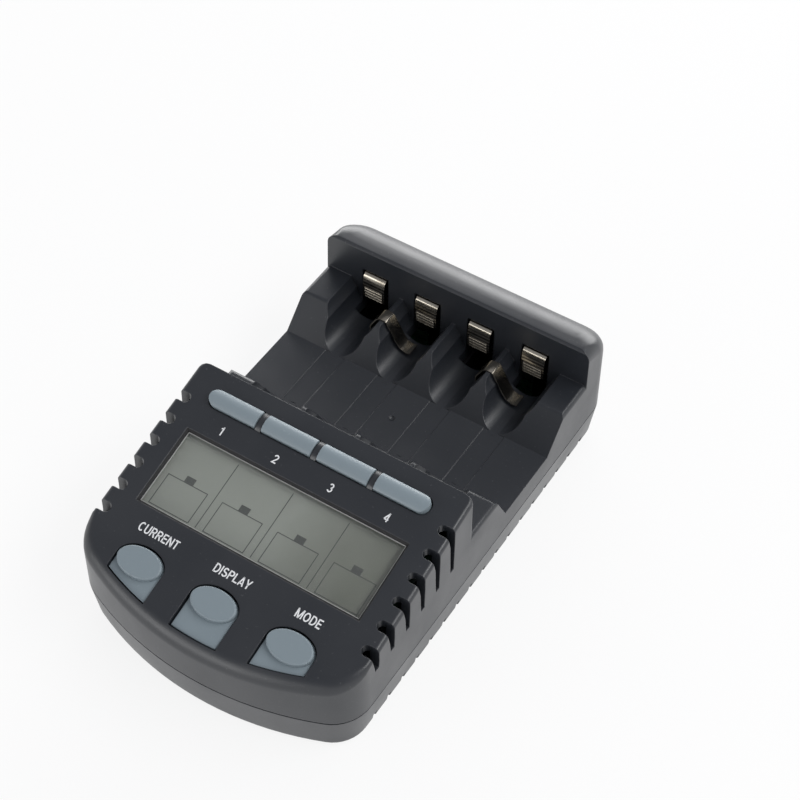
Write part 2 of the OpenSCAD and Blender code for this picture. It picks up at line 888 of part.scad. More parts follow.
// One quarter of the row of slot keys, i counted from the left
module slot_key(i) {
  x = slot_key_x(i);
  half = (slot_key_pitch - rib_w - key_gap) / 2;
  left = i == 0 ? half + over : half;
  right = i == bays - 1 ? half + over : half;
  color("#80909a") on_deck() {
    intersection() {
      translate([0, -bar_v, 0]) stadium(bar_l, bar_w, -rim_low, bar_rise + over);
      translate([-far, -bar_v, bar_rise - bar_crown_r]) rotate([0, 90, 0])
        cylinder(r = bar_crown_r, h = 2 * far);
      box([x - left, x + right], [-far, far], [-far, far]);
    }
    box(ends(x, half), ends(-bar_v, bar_w / 2 + key_rim), [-rim_low, -rim_top]);
    key_stem(x, -switch_v);
  }
}

// Front key: a raised oval on a tab that follows the bowed front
module front_key(i) {
  x = i * front_key_pitch;
  edge = [for (k = [0 : base_steps])
    let (a = quarter * k / base_steps, e = oval_edge_r * (1 - cos(a)))
    flat(oval(oval_w / 2 - e, oval_l / 2 - e), oval_rise - oval_edge_r * (1 - sin(a)))];
  color("#80909a") on_deck() {
    front_key_prism(i, 0, -rim_low, -tab_drop);
    front_key_prism(i, key_rim, -rim_low, -rim_top);
    translate([x, -front_key_v, 0])
      loft(concat([flat(oval(oval_w / 2, oval_l / 2), -tab_drop - eps)], edge));
    key_stem(x, -front_key_v);
  }
}

module slot_key_1() { slot_key(0); }
module slot_key_2() { slot_key(1); }
module slot_key_3() { slot_key(2); }
module slot_key_4() { slot_key(3); }
module left_key() { front_key(-1); }
module middle_key() { front_key(0); }
module right_key() { front_key(1); }

// Boards

module main_board() {
  color("#2f6b3c") box([-board_w / 2, board_w / 2], [main_front, main_rear], [main_low, main_top]);
}

module on_main_board(x, y) {
  translate([x, y, main_top]) children();
}

module control_chip() {
  color("#1c1c1e") on_main_board(-chip[0] / 2, main_front + chip_set) cube(chip);
}

module charge_transistors() {
  color("#1c1c1e") for (i = [0 : bays - 1])
    on_main_board((i - (bays - 1) / 2) * transistor_pitch - transistor[0] / 2, tray_mid)
      cube(transistor);
}

module capacitors() {
  color("#9a9ca0") both_sides() on_main_board(can_x, rear_toe) cylinder(r = can_r, h = can_h);
}

// Row of pins that joins the display board to the main board
module board_link() {
  color("#1c1c1e") intersection() {
    box(ends(0, link_w / 2), ends(deck_face - link_set, link_t / 2), [main_top, deck_top]);
    on_deck() box([-far, far], [-far, far], [-far, -board_low]);
  }
}

module power_socket() {
  body_rear = rear_y - lower_wall - snug;
  color("#1c1c1e") {
    difference() {
      union() {
        box(ends(0, socket_w / 2), [body_rear - socket_l, body_rear], [main_top, main_top + socket_h]);
        translate([0, body_rear - over, socket_axis]) rotate([-90, 0, 0])
          cylinder(r = socket_nose_r, h = lower_wall + snug - socket_nose_in + over);
      }
      translate([0, rear_y + over, socket_axis]) rotate([90, 0, 0])
        cylinder(r = socket_r, h = socket_depth + over);
    }
    translate([0, rear_y - socket_pin_in, socket_axis]) rotate([90, 0, 0])
      cylinder(r = socket_pin_r, h = socket_depth);
  }
}

// Contacts

// Middle line of a spring contact: distance into the wall, height
function contact_path() =
  let (
    behind = wall + contact_t / 2,
    edge = contact_top - contact_t / 2,
    crest = contact_t / 2 - contact_bulge,
    foot = wall + contact_foot
  ) [
    [behind, contact_top + contact_hook],
    [behind, edge],
    [contact_lip, edge],
    [-contact_bulge / 2, contact_top - contact_bends[0]],
    [crest, contact_top - contact_bends[1]],
    [-contact_bulge / 2, contact_top - contact_bends[2]],
    [contact_foot, floor_z + contact_rises[0]],
    [foot, floor_z + contact_rises[1]],
    [foot, floor_z - tail_lap]
  ];

module spring_contact() {
  path = contact_path();
  foot = path[len(path) - 1];
  crest = path[4];
  slope = path[5] - crest;
  along_x(contact_w) polygon(strip_outline(path, contact_t));
  along_x(tail_w) polygon(strip_outline([foot + [0, tail_lap], [foot[0], main_top]], contact_t));
  for (k = [0 : ridge_count - 1]) {
    p = crest + slope * (k + 0.5) / ridge_count;
    translate([0, p[0] - contact_t / 2, p[1]]) rotate([0, 90, 0])
      cylinder(r = ridge_r, h = contact_w - 2 * ridge_in, center = true);
  }
}

module rear_contact(i) {
  color("#c9c5b8") translate([bay_x(i), rear_face, 0]) spring_contact();
}

module front_contact(i) {
  color("#c9c5b8") translate([bay_x(i), deck_face, 0]) mirror([0, 1, 0]) spring_contact();
}

module rear_contact_1() { rear_contact(0); }
module rear_contact_2() { rear_contact(1); }
module rear_contact_3() { rear_contact(2); }
module rear_contact_4() { rear_contact(3); }
module front_contact_1() { front_contact(0); }
module front_contact_2() { front_contact(1); }
module front_contact_3() { front_contact(2); }
module front_contact_4() { front_contact(3); }

// Ridges between bays 1 and 2 and between bays 3 and 4 carry the temperature strips
function strip_xs() = [(bay_x(0) + bay_x(1)) / 2, (bay_x(2) + bay_x(3)) / 2];

// Strip over a ridge: short leg into the tray on the left, long leg down the groove on the right
module temperature_strip(x) {
  path = concat(
    [[strip_leg[0], main_top], [strip_leg[0], strip_leg_top]],
    [for (p = strip_bends) [p[0], shelf_z + strip_t / 2 + snug + p[1]]],
    [for (p = strip_end) [p[0], floor_z + p[1]]]
  );
  color("#c9c5b8") translate([x, rear_face - strip_set, 0])
    along_y(strip_w) polygon(strip_outline(path, strip_t));
}

module temperature_strip_1() { temperature_strip(strip_xs()[0]); }
module temperature_strip_2() { temperature_strip(strip_xs()[1]); }

// Fasteners and feet

module case_screws() {
  head_low = head_seat - head_h;
  color("#9a9ca0") at_screws() difference() {
    union() {
      translate([0, 0, head_low]) cylinder(r = screw_head_r, h = head_h);
      translate([0, 0, head_seat - eps]) cylinder(r = screw_r, h = screw_tip - head_seat + eps);
    }
    for (a = [0, 90]) rotate(a)
      box(ends(0, cross_w / 2), ends(0, cross_l / 2), [0, head_low + cross_d]);
  }
}

module rubber_feet() {
  color("#1c1c1e") at_feet() cylinder(r = foot_r, h = foot_h);
}

upper_shell();
lower_shell();
display_lens();
lcd_panel();
lcd_connectors();
display_board();
key_switches();
slot_key_1();
slot_key_2();
slot_key_3();
slot_key_4();
left_key();
middle_key();
right_key();
main_board();
control_chip();
charge_transistors();
capacitors();
board_link();
power_socket();
rear_contact_1();
rear_contact_2();
rear_contact_3();
rear_contact_4();
front_contact_1();
front_contact_2();
front_contact_3();
front_contact_4();
temperature_strip_1();
temperature_strip_2();
case_screws();
rubber_feet();
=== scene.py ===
"""Finishes, print and studio for a four-bay desk charger, dressed round its packed frame."""

import json
import math

import bmesh
import bpy
from bpy.props import FloatProperty, FloatVectorProperty, PointerProperty
from mathutils import Matrix, Vector


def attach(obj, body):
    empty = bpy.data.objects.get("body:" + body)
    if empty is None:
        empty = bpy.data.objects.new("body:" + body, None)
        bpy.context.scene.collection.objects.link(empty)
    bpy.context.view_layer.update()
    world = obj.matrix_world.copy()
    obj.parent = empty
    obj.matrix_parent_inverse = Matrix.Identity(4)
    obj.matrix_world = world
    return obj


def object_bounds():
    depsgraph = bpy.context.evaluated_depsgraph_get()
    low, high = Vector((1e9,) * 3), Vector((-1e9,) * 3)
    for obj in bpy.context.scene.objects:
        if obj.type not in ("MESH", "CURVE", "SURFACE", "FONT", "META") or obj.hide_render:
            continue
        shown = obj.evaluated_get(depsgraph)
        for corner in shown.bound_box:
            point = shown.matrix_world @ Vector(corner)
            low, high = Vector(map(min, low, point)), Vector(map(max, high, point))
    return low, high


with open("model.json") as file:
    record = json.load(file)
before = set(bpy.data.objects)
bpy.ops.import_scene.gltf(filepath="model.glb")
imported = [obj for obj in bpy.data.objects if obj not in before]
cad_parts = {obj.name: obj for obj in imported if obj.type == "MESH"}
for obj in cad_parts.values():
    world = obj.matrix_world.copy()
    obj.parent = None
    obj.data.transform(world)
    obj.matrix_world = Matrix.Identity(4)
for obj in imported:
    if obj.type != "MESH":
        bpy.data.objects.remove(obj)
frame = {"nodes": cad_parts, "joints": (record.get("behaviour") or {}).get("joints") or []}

bl_info = {
    "name": "Desk charger looks",
    "version": (1, 0, 0),
    "blender": (4, 5, 0),
    "location": "View3D > Sidebar > Charger",
    "description": "Finishes, printed marks and studio for a four-bay desk charger",
    "category": "Object",
}

MM = 0.001
CAD_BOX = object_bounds()

# Axes of the sloped deck: keys are pressed straight into it
ACROSS = Vector((1, 0, 0))
DECK_OUT = -Vector(frame["joints"][0]["axis"]).normalized()
DECK_UP = DECK_OUT.cross(ACROSS)
DECK_TURN = Matrix((ACROSS, DECK_UP, DECK_OUT)).transposed()

# Deck's surface above the top of the lens
DECK_RECESS = 1 * MM

# Trim round the display, a painted highlight on the lens and painted shade over the window's bevel:
# space to what it lies on, and how far it stays inside the window's bevel
TRIM_GAP = 0.02 * MM
TRIM_INSET = 0.1 * MM

# Front keys: how level a face has to be to count as flat, how finely heights are told apart, in
# decimals of a metre, and how far under a disc's top its rim still counts as the disc
FLAT_COSINE = 0.999
HEIGHT_DECIMALS = 5
DISC_DEPTH = 0.05 * MM

# Print: space between letters in letter heights, degrees in each step of a curve, and the least
# cosine that a corner's mitre is drawn out for
LETTER_GAP = 0.09
CURVE_STEP = 18
MITRE_LIMIT = 0.5

# Shading of the pieces: vertices that are one, faces that are one plane, and creases
WELD_REACH = 0.001 * MM
PLANE_ANGLE = math.radians(0.3)
CREASE = math.radians(32)
SHEET_CREASE = math.radians(50)
TAB_CREASE = math.radians(40)
TAB_PLANE = math.radians(1)
ROUND_STEPS = 3
BEVEL_SAMPLES = 6

# Noises of the finishes: cells in a metre, then octaves of detail
SHINE_PATCHES = (75, 4)
DUST_SPECKS = (1400, 1)
DUST_FILM = (45, 5)
RUB_MARKS = (260, 3)
ROLL_STREAKS = (900, 2)
DULL_PATCHES = (320, 4)
GLASS_CLOUDS = (40, 3)
GLASS_FROST = (4000, 1)
LENS_HAZE = (120, 4)
INK_MOTTLE = (2500, 2)
MASK_SHEEN = (300, 2)
EPOXY_FILM = (500, 3)
RUBBER_DUST = (700, 4)
RUBBER_GRAIN = (2200, 3)
GRAIN_DETAIL = 2.5
EPOXY_CELLS = 5000

# Span that nearly all of a noise's values lie in
NOISE_SPAN = (0.3, 0.7)

# Wave texture: length of one band at a scale of one, and the scale of the connectors' layers
WAVE_BAND = math.pi / 10
LAYER_SCALE = 600

# Streaks in metal: how much finer they are along each axis
STRIP_STREAKS = (8, 1, 1)
CAN_STREAKS = (1, 1, 6)
SCREW_STREAKS = (1, 1, 5)

# Relief that is too fine to model
ROLL_DEPTH = 0.004 * MM
TRACK_DEPTH = 0.03 * MM
EPOXY_DEPTH = 0.01 * MM
RUBBER_DEPTH = 0.02 * MM

# Refraction of the plastics
CASE_IOR = 1.57
KEY_IOR = 1.48
LENS_IOR = 1.49

# Roughness of the plain finishes
SEGMENT_ROUGHNESS = 0.5
RIM_ROUGHNESS = 0.3
SHADE_BAND_ROUGHNESS = 0.7
INK_ROUGHNESS = 0.6
ELASTOMER_ROUGHNESS = 0.6
RUBBER_ROUGHNESS = 0.75
FLOOR_ROUGHNESS = 0.9

# Brightness of a second tone beside the first: painted shade between a contact's ridges and in its
# pocket, thin ink, dust on epoxy and on rubber
PAINTED_SHADE_SHARE = 0.12
THIN_INK = 0.85
DUSTY_EPOXY = 3
DUSTY_RUBBER = 4

# Display: stretch of the glass, from its middle to the right, over which painted shade darkens it,
# and how far clouds shift that
PAINTED_SHADE_SPAN = (2 * MM, 24 * MM)
CLOUD_REACH = 6 * MM

# Stage: sides of the round floor, and heights on a unit sphere at which walls turn into ceiling
FLOOR_SIDES = 96
WALL_SPAN = (0.16, 0.52)

SHELLS = ("upper_shell", "lower_shell")
SLOT_KEYS = tuple(f"slot_key_{i}" for i in range(1, 5))
FRONT_KEYS = ("left_key", "middle_key", "right_key")
CONTACTS = tuple(f"{end}_contact_{i}" for end in ("rear", "front") for i in range(1, 5))
STRIPS = ("temperature_strip_1", "temperature_strip_2")
BLACK_PARTS = ("control_chip", "charge_transistors", "key_switches", "board_link", "power_socket")
KEY_WORDS = {"left_key": "CURRENT", "middle_key": "DISPLAY", "right_key": "MODE"}


# Sizes and colours that a user would change

def length(label, about, default_mm):
    """A property for a length, given in millimetres and kept in metres."""
    return FloatProperty(
        name=label, description=about, default=default_mm * MM, min=0, unit="LENGTH", precision=5)


def colour(label, about, default):
    """A property for a linear colour."""
    return FloatVectorProperty(
        name=label, description=about, default=default, size=3, min=0, max=1, subtype="COLOR")


def share(label, about, default):
    """A property for a value between nothing and all."""
    return FloatProperty(
        name=label, description=about, default=default, min=0, max=1, subtype="FACTOR")


def angle(label, about, degrees):
    """A property for an angle, given in degrees and kept in radians."""
    return FloatProperty(
        name=label, description=about, default=math.radians(degrees), subtype="ANGLE")


def power(label, about, watts):
    """A property for a lamp's power."""
    return FloatProperty(name=label, description=about, default=watts, min=0, unit="POWER")


class CaseFinish(bpy.types.PropertyGroup):
    """Moulded charcoal plastic of the two shells"""
    plastic: colour("Plastic", "Colour of the moulded shells", (0.018, 0.0206, 0.0256))
    dust: colour("Dust", "Colour of the fine dust and scuffs on the shells", (0.07, 0.072, 0.077))
    grain: length("Grain", "Size of the spark-eroded grain", 0.32)
    grain_depth: length("Grain depth", "Height of that grain", 0.012)
    edge: length("Edge", "Rounding of the moulded edges", 0.26)
    gloss: share("Shine", "Roughness of the shiniest patches", 0.31)
    matt: share("Matt", "Roughness of the dullest patches", 0.39)


class KeyFinish(bpy.types.PropertyGroup):
    """Slate grey plastic of the seven keys"""
    plastic: colour("Plastic", "Colour of the keys", (0.213, 0.259, 0.287))
    worn: colour("Worn", "Colour where fingers have polished the keys", (0.26, 0.31, 0.34))
    grain: length("Grain", "Size of the keys' fine grain", 0.2)
    grain_depth: length("Grain depth", "Height of that grain", 0.006)
    edge: length("Edge", "Rounding of the keys' edges", 0.25)
    tab_rise: length("Tab rise", "How far the front keys' tabs are built up", 2.3)
    gloss: share("Shine", "Roughness of the shiniest patches", 0.34)
    matt: share("Matt", "Roughness of the dullest patches", 0.46)


class DisplayFinish(bpy.types.PropertyGroup):
    """Liquid crystal glass, its clear lens and its four columns of segments"""
    glass: colour("Glass", "Colour of the unlit liquid crystal", (0.234, 0.241, 0.221))
    # Painted shade: the glass's colour at its right end, where it darkens
    dim: colour("Dim glass", "Colour of the liquid crystal at its right end", (0.124, 0.128, 0.109))
    # Painted highlight: a light line that stands in for the lens's bevelled edge catching the light
    rim: colour("Rim", "Colour of the lens's polished edge", (0.55, 0.55, 0.53))
    gasket: colour("Gasket", "Colour of the dark seal round the lens", (0.006, 0.006, 0.007))
    # Painted shade: a near-black band over the window's wall and bevel
    rim_w: length("Rim width", "Width of the lens's polished edge", 0.24)
    rim_t: length("Rim thickness", "How far that edge stands on the lens", 0.02)
    ledge: length("Lens ledge", "How far the lens reaches under the window's edge", 1.4)
    bevel: length("Window bevel", "Bevel round the window, which the seal covers", 0.6)
    segment: colour("Segment", "Colour of the dark segments", (0.055, 0.058, 0.055))
    lens: colour("Lens", "Tint of the clear lens", (0.95, 0.965, 0.955))
    segment_t: length("Segment thickness", "How far the segments stand on the glass", 0.02)
    line: length("Line", "Width of the outlines and dividers", 0.22)
    pitch: length("Column pitch", "Spacing of the four columns", 15)
    cell_w: length("Cell width", "Width of a battery outline", 11.1)
    cell_low: length("Cell foot", "Window's centre down to the foot of a battery outline", 8.95)
    cell_top: length("Cell top", "Window's centre down to the top of a battery outline", 0.77)
    cap_w: length("Cap width", "Width of a battery outline's cap", 2.5)
    cap_h: length("Cap height", "Height of a battery outline's cap", 1.6)
    divider_top: length("Divider top", "Window's centre up to the dividers' upper end", 8.7)


class MarkFinish(bpy.types.PropertyGroup):
    """White print on the deck"""
    ink: colour("Ink", "Colour of the print", (0.86, 0.87, 0.88))
    ink_t: length("Ink thickness", "How far the print stands on the deck", 0.03)
    stroke: share("Stroke", "Thickness of the letters' strokes, as a share of their height", 0.152)
    digit_h: length("Digit height", "Height of the bay numbers", 2.2)
    digit_pitch: length("Digit pitch", "Spacing of the bay numbers", 14.9)
    digit_set: length("Digit place", "Middle of the slot keys down to the bay numbers", 6.3)
    word_h: length("Word height", "Height of the words over the front keys", 2.2)
    letter_w: length("Letter width", "Width of the print for letters one unit wide", 2.08)
    word_set: length("Word place", "Middle of a front key up to its word", 7.5)


class MetalFinish(bpy.types.PropertyGroup):
    """Plated contacts, screws and cans"""
    nickel: colour("Nickel", "Colour of the plated contacts", (0.5, 0.46, 0.39))
    tarnish: colour("Tarnish", "Colour of the dull patches on them", (0.3, 0.265, 0.21))
    # Painted shade on the contacts: dark lines between their ridges, and a foot that darkens into
    # the pocket
    ridge_pitch: length("Ridge pitch", "Spacing of the dark lines between a contact's ridges", 1)
    ridge_top: length("Ridge top", "Height of the highest of those lines", 28.1)
    shade_top: length("Shade top", "Height at which a contact begins to darken into its pocket", 26)
    shade_low: length("Shade foot", "Height at which it is darkest", 19.5)
    zinc: colour("Zinc", "Colour of the screws", (0.52, 0.53, 0.55))
    aluminium: colour("Aluminium", "Colour of the capacitor cans", (0.66, 0.67, 0.68))
    edge: length("Edge", "Rounding of the stamped edges", 0.06)


class BoardFinish(bpy.types.PropertyGroup):
    """Circuit boards and what they carry"""
    mask: colour("Solder mask", "Colour of the boards", (0.008, 0.045, 0.02))
    track: colour("Tracks", "Colour of the covered copper tracks", (0.018, 0.08, 0.034))
    epoxy: colour("Epoxy", "Colour of the black components", (0.014, 0.014, 0.016))
    elastomer: colour("Elastomer", "Colour of the rubber connectors", (0.55, 0.33, 0.29))
    carbon: colour("Carbon", "Colour of the conducting layers in them", (0.03, 0.028, 0.028))
    rubber: colour("Rubber", "Colour of the feet", (0.016, 0.016, 0.017))
    edge: length("Edge", "Rounding of the components' edges", 0.12)


class StageSetup(bpy.types.PropertyGroup):
    """Camera, lamps and floor"""
    target: FloatVectorProperty(
        name="Target", description="Point that the camera looks at",
        default=(-2.536 * MM, 28.369 * MM, 15 * MM), subtype="TRANSLATION")
    distance: length("Distance", "Camera to its target", 458.15)
    azimuth: angle("Azimuth", "Camera's turn round the charger from straight in front", 31.7345)
    elevation: angle("Elevation", "Camera's height angle", 49.5887)
    roll: angle("Roll", "Camera's turn about its own axis", 1.0978)
    focal: FloatProperty(
        name="Focal length", description="Focal length for a 36 mm sensor, in millimetres",
        default=84.369, min=1)
    floor_r: length("Floor radius", "Radius of the round floor", 4000)
    floor: colour("Floor", "Colour of the floor", (0.86, 0.86, 0.86))
    floor_glow: share("Floor glow", "Share of plain white in the floor as the camera sees it", 0.86)
    horizon: colour("Horizon", "Light from the walls", (1, 1, 1))
    zenith: colour("Zenith", "Light from the ceiling", (0.345, 0.35, 0.372))
    lamp_far: length("Lamp distance", "Softboxes to the charger", 1100)
    left_turn: angle("Left azimuth", "Left softbox's turn from straight in front", -24)
    left_rise: angle("Left elevation", "Left softbox's height angle", 9)
    left_w: length("Left width", "Width of the left softbox", 850)
    left_h: length("Left height", "Height of the left softbox", 420)
    left_power: power("Left power", "Power of the left softbox", 2.8)
    right_turn: angle("Right azimuth", "Right softbox's turn from straight in front", 104)
    right_rise: angle("Right elevation", "Right softbox's height angle", 50)
    right_w: length("Right width", "Width of the right softbox", 1100)
    right_h: length("Right height", "Height of the right softbox", 420)
    right_power: power("Right power", "Power of the right softbox", 7)
    back_turn: angle("Back azimuth", "Back softbox's turn from straight in front", 201)
    back_rise: angle("Back elevation", "Back softbox's height angle", 13)
    back_w: length("Back width", "Width of the back softbox", 1600)
    back_h: length("Back height", "Height of the back softbox", 640)
    back_power: power("Back power", "Power of the back softbox", 14)


SETTINGS = {
    "charger_case": CaseFinish,
    "charger_keys": KeyFinish,
    "charger_display": DisplayFinish,
    "charger_marks": MarkFinish,
    "charger_metal": MetalFinish,
    "charger_boards": BoardFinish,
    "charger_stage": StageSetup,
}


# Places on the deck

def deck_corners(node):
    """Vertices of a node in the deck's own axes."""
    turn = DECK_TURN.transposed()
    return [turn @ v.co for v in frame["nodes"][node].data.vertices]


def deck_box(node):
    """Lowest and highest corner of a node in the deck's own axes."""
    corners = deck_corners(node)
    low = Vector(min(c[k] for c in corners) for k in range(3))
    high = Vector(max(c[k] for c in corners) for k in range(3))
    return low, high


def deck_middle(node):
    """Middle of a node in the deck's own axes."""
    low, high = deck_box(node)
    return (low + high) / 2


# Shader nodes

def add(tree, kind, inputs=None, **settings):
    """Adds a node, sets its options, and fills its inputs with values or links."""
    node = tree.nodes.new(kind)
    for name, value in settings.items():
        setattr(node, name, value)
    for key, value in (inputs or {}).items():
        if isinstance(value, bpy.types.NodeSocket):
            tree.links.new(value, node.inputs[key])
        else:
            node.inputs[key].default_value = value
    return node


def opaque(rgb):
    """A colour with full alpha, as node sockets take it."""
    return (*rgb, 1)


def new_group(name, inputs, outputs):
    """Starts a shader node group with named sockets and returns its tree, inputs and outputs."""
    tree = bpy.data.node_groups.new(name, "ShaderNodeTree")
    for label, (kind, default) in inputs.items():
        socket = tree.interface.new_socket(label, in_out="INPUT", socket_type=kind)
        socket.default_value = default
    for label, kind in outputs.items():
        tree.interface.new_socket(label, in_out="OUTPUT", socket_type=kind)
    given = tree.nodes.new("NodeGroupInput").outputs
    result = tree.nodes.new("NodeGroupOutput").inputs
    return tree, given, result


def use_group(tree, name, inputs):
    """Places a node group in a material with its own values and returns its outputs."""
    return add(tree, "ShaderNodeGroup", inputs, node_tree=bpy.data.node_groups[name]).outputs


def map_range(tree, value, span, to=(0, 1)):
    """Stretches a value from one span to another, clamped."""
    return add(tree, "ShaderNodeMapRange", {
        "Value": value,
        "From Min": span[0],
        "From Max": span[1],
        "To Min": to[0],
        "To Max": to[1],
    }).outputs["Result"]


def blend(tree, factor, first, second):
    """Mixes two colours by a factor."""
    inputs = {0: factor, 6: first, 7: second}
    return add(tree, "ShaderNodeMix", inputs, data_type="RGBA").outputs[2]


def multiply(tree, first, second):
    """Product of two values."""
    return add(tree, "ShaderNodeMath", {0: first, 1: second}, operation="MULTIPLY").outputs[0]


def greater(tree, first, second):
    """Greater of two values."""
    return add(tree, "ShaderNodeMath", {0: first, 1: second}, operation="MAXIMUM").outputs[0]


def object_place(tree):
    """Place on the piece, in metres."""
    return add(tree, "ShaderNodeTexCoord").outputs["Object"]


def object_axis(tree, axis):
    """One coordinate of the place on the piece, in metres."""
    return add(tree, "ShaderNodeSeparateXYZ", {0: object_place(tree)}).outputs[axis]


def object_noise(tree, scale, detail, stretch=(1, 1, 1)):
    """Noise fixed to the piece, with cells of 1 / scale metres."""
    inputs = {0: object_place(tree), 1: stretch}
    placed = add(tree, "ShaderNodeVectorMath", inputs, operation="MULTIPLY").outputs[0]
    inputs = {"Vector": placed, "Scale": scale, "Detail": detail}
    return add(tree, "ShaderNodeTexNoise", inputs).outputs["Fac"]


def build_moulded_grain():
    """Spark-eroded grain of a mould, with slow changes of shine over the surface."""
    tree, given, result = new_group(
        "moulded_grain",
        {
            "Cells": ("NodeSocketFloat", 3000),
            "Shine": ("NodeSocketFloat", 0.4),
            "Matt": ("NodeSocketFloat", 0.55),
        },
        {"Height": "NodeSocketFloat", "Roughness": "NodeSocketFloat"},
    )
    tree.links.new(object_noise(tree, given["Cells"], GRAIN_DETAIL), result["Height"])
    patches = object_noise(tree, *SHINE_PATCHES)
    sheen = map_range(tree, patches, (0.35, 0.65), (given["Shine"], given["Matt"]))
    tree.links.new(sheen, result["Roughness"])


def build_soft_edges():
    """Rounded edges: a bent normal, and a mask that is strongest on the edge itself."""
    tree, given, result = new_group(
        "soft_edges",
        {"Radius": ("NodeSocketFloat", 0.0002)},
        {"Normal": "NodeSocketVector", "Edge": "NodeSocketFloat"},
    )
    bevel = add(tree, "ShaderNodeBevel", {"Radius": given["Radius"]}, samples=BEVEL_SAMPLES)
    rounded = bevel.outputs["Normal"]
    flat = add(tree, "ShaderNodeNewGeometry").outputs["Normal"]
    agree = add(tree, "ShaderNodeVectorMath", {0: rounded, 1: flat}, operation="DOT_PRODUCT")
    tree.links.new(rounded, result["Normal"])
    tree.links.new(map_range(tree, agree.outputs["Value"], (0.98, 0.8)), result["Edge"])


def build_handling():
    """Dust specks and scuffs over a colour, more of them on edges."""
    tree, given, result = new_group(
        "handling",
        {
            "Colour": ("NodeSocketColor", (0, 0, 0, 1)),
            "Dust": ("NodeSocketColor", (1, 1, 1, 1)),
            "Edge": ("NodeSocketFloat", 0),
        },
        {"Colour": "NodeSocketColor"},
    )
    specks = map_range(tree, object_noise(tree, *DUST_SPECKS), (0.71, 0.8), (0, 0.55))
    film = map_range(tree, object_noise(tree, *DUST_FILM), (0.4, 0.75), (0, 0.12))
    marks = map_range(tree, object_noise(tree, *RUB_MARKS), (0.4, 0.7), (0.04, 0.22))
    rubbed = multiply(tree, given["Edge"], marks)
    dusty = blend(tree, film, given["Colour"], given["Dust"])
    specked = blend(tree, specks, dusty, given["Dust"])
    tree.links.new(blend(tree, rubbed, specked, given["Dust"]), result["Colour"])


def build_rolled_metal():
    """Streaks along a rolled or drawn strip, with dull patches."""
    tree, given, result = new_group(
        "rolled_metal",
        {
            "Colour": ("NodeSocketColor", (1, 1, 1, 1)),
            "Tarnish": ("NodeSocketColor", (0.5, 0.5, 0.5, 1)),
            "Streaks": ("NodeSocketVector", (1, 1, 1)),
            "Bright": ("NodeSocketFloat", 0.15),
            "Dull": ("NodeSocketFloat", 0.4),
        },
        {"Colour": "NodeSocketColor", "Roughness": "NodeSocketFloat", "Height": "NodeSocketFloat"},
    )
    streaks = object_noise(tree, *ROLL_STREAKS, given["Streaks"])
    patches = map_range(tree, object_noise(tree, *DULL_PATCHES), (0.5, 0.85))
    sheen = map_range(tree, patches, (0, 1), (given["Bright"], given["Dull"]))
    tree.links.new(blend(tree, patches, given["Colour"], given["Tarnish"]), result["Colour"])
    tree.links.new(sheen, result["Roughness"])
    tree.links.new(streaks, result["Height"])


# Finishes

def new_finish(name):
    """A new material with its tree and its Principled shader."""
    finish = bpy.data.materials.new(name)
    finish.use_nodes = True
    return finish, finish.node_tree, finish.node_tree.nodes["Principled BSDF"]


def set_bump(tree, shader, height, depth, normal=None):
    """Raises the surface by a height mask of the given depth, over a normal if there is one."""
    inputs = {"Height": height, "Distance": depth}
    if normal is not None:
        inputs["Normal"] = normal
    tree.links.new(add(tree, "ShaderNodeBump", inputs).outputs["Normal"], shader.inputs["Normal"])


def moulded_plastic(name, plastic, dust, look, ior):
    """Moulded plastic with grain, soft edges and signs of handling."""
    finish, tree, shader = new_finish(name)
    edges = use_group(tree, "soft_edges", {"Radius": look.edge})
    grain = use_group(tree, "moulded_grain", {
        "Cells": 1 / look.grain,
        "Shine": look.gloss,
        "Matt": look.matt,
    })
    handled = use_group(tree, "handling", {
        "Colour": opaque(plastic),
        "Dust": opaque(dust),
        "Edge": edges["Edge"],
    })
    tree.links.new(handled["Colour"], shader.inputs["Base Color"])
    tree.links.new(grain["Roughness"], shader.inputs["Roughness"])
    shader.inputs["IOR"].default_value = ior
    set_bump(tree, shader, grain["Height"], look.grain_depth, edges["Normal"])
    return finish


def plated_metal(name, bright, tarnish, streaks, roughness, ridges=None):
    """Plated sheet or turned metal with streaks, dull patches and, where given, painted shade
    between a contact's ridges and down into its pocket.
    """
    finish, tree, shader = new_finish(name)
    rolled = use_group(tree, "rolled_metal", {
        "Colour": opaque(bright),
        "Tarnish": opaque(tarnish),
        "Streaks": streaks,
        "Bright": roughness[0],
        "Dull": roughness[1],
    })
    colour_out = rolled["Colour"]
    # Painted shade between the ridges and down into the pocket
    if ridges:
        shade_tone = opaque(PAINTED_SHADE_SHARE * c for c in tarnish)
        colour_out = blend(tree, ridge_shade(tree, ridges), colour_out, shade_tone)
    tree.links.new(colour_out, shader.inputs["Base Color"])
    tree.links.new(rolled["Roughness"], shader.inputs["Roughness"])
    shader.inputs["Metallic"].default_value = 1
    set_bump(tree, shader, rolled["Height"], ROLL_DEPTH)
    return finish


def ridge_shade(tree, look):
    """Mask of painted shade: dark lines between a contact's ridges, and its foot darkening down
    into its pocket.
    """
    height = object_axis(tree, "Z")
    bands = {"Vector": object_place(tree), "Scale": WAVE_BAND / look.ridge_pitch}
    wave = add(tree, "ShaderNodeTexWave", bands, bands_direction="Z").outputs["Fac"]
    lines = map_range(tree, wave, (0.35, 0.7), (0, 0.9))
    ridge_shaded_nickel = map_range(tree, height, (look.ridge_top - look.ridge_pitch, look.ridge_top), (1, 0))
    foot = map_range(tree, height, (look.shade_low, look.shade_top), (1, 0))
    return greater(tree, multiply(tree, lines, ridge_shaded_nickel), foot)


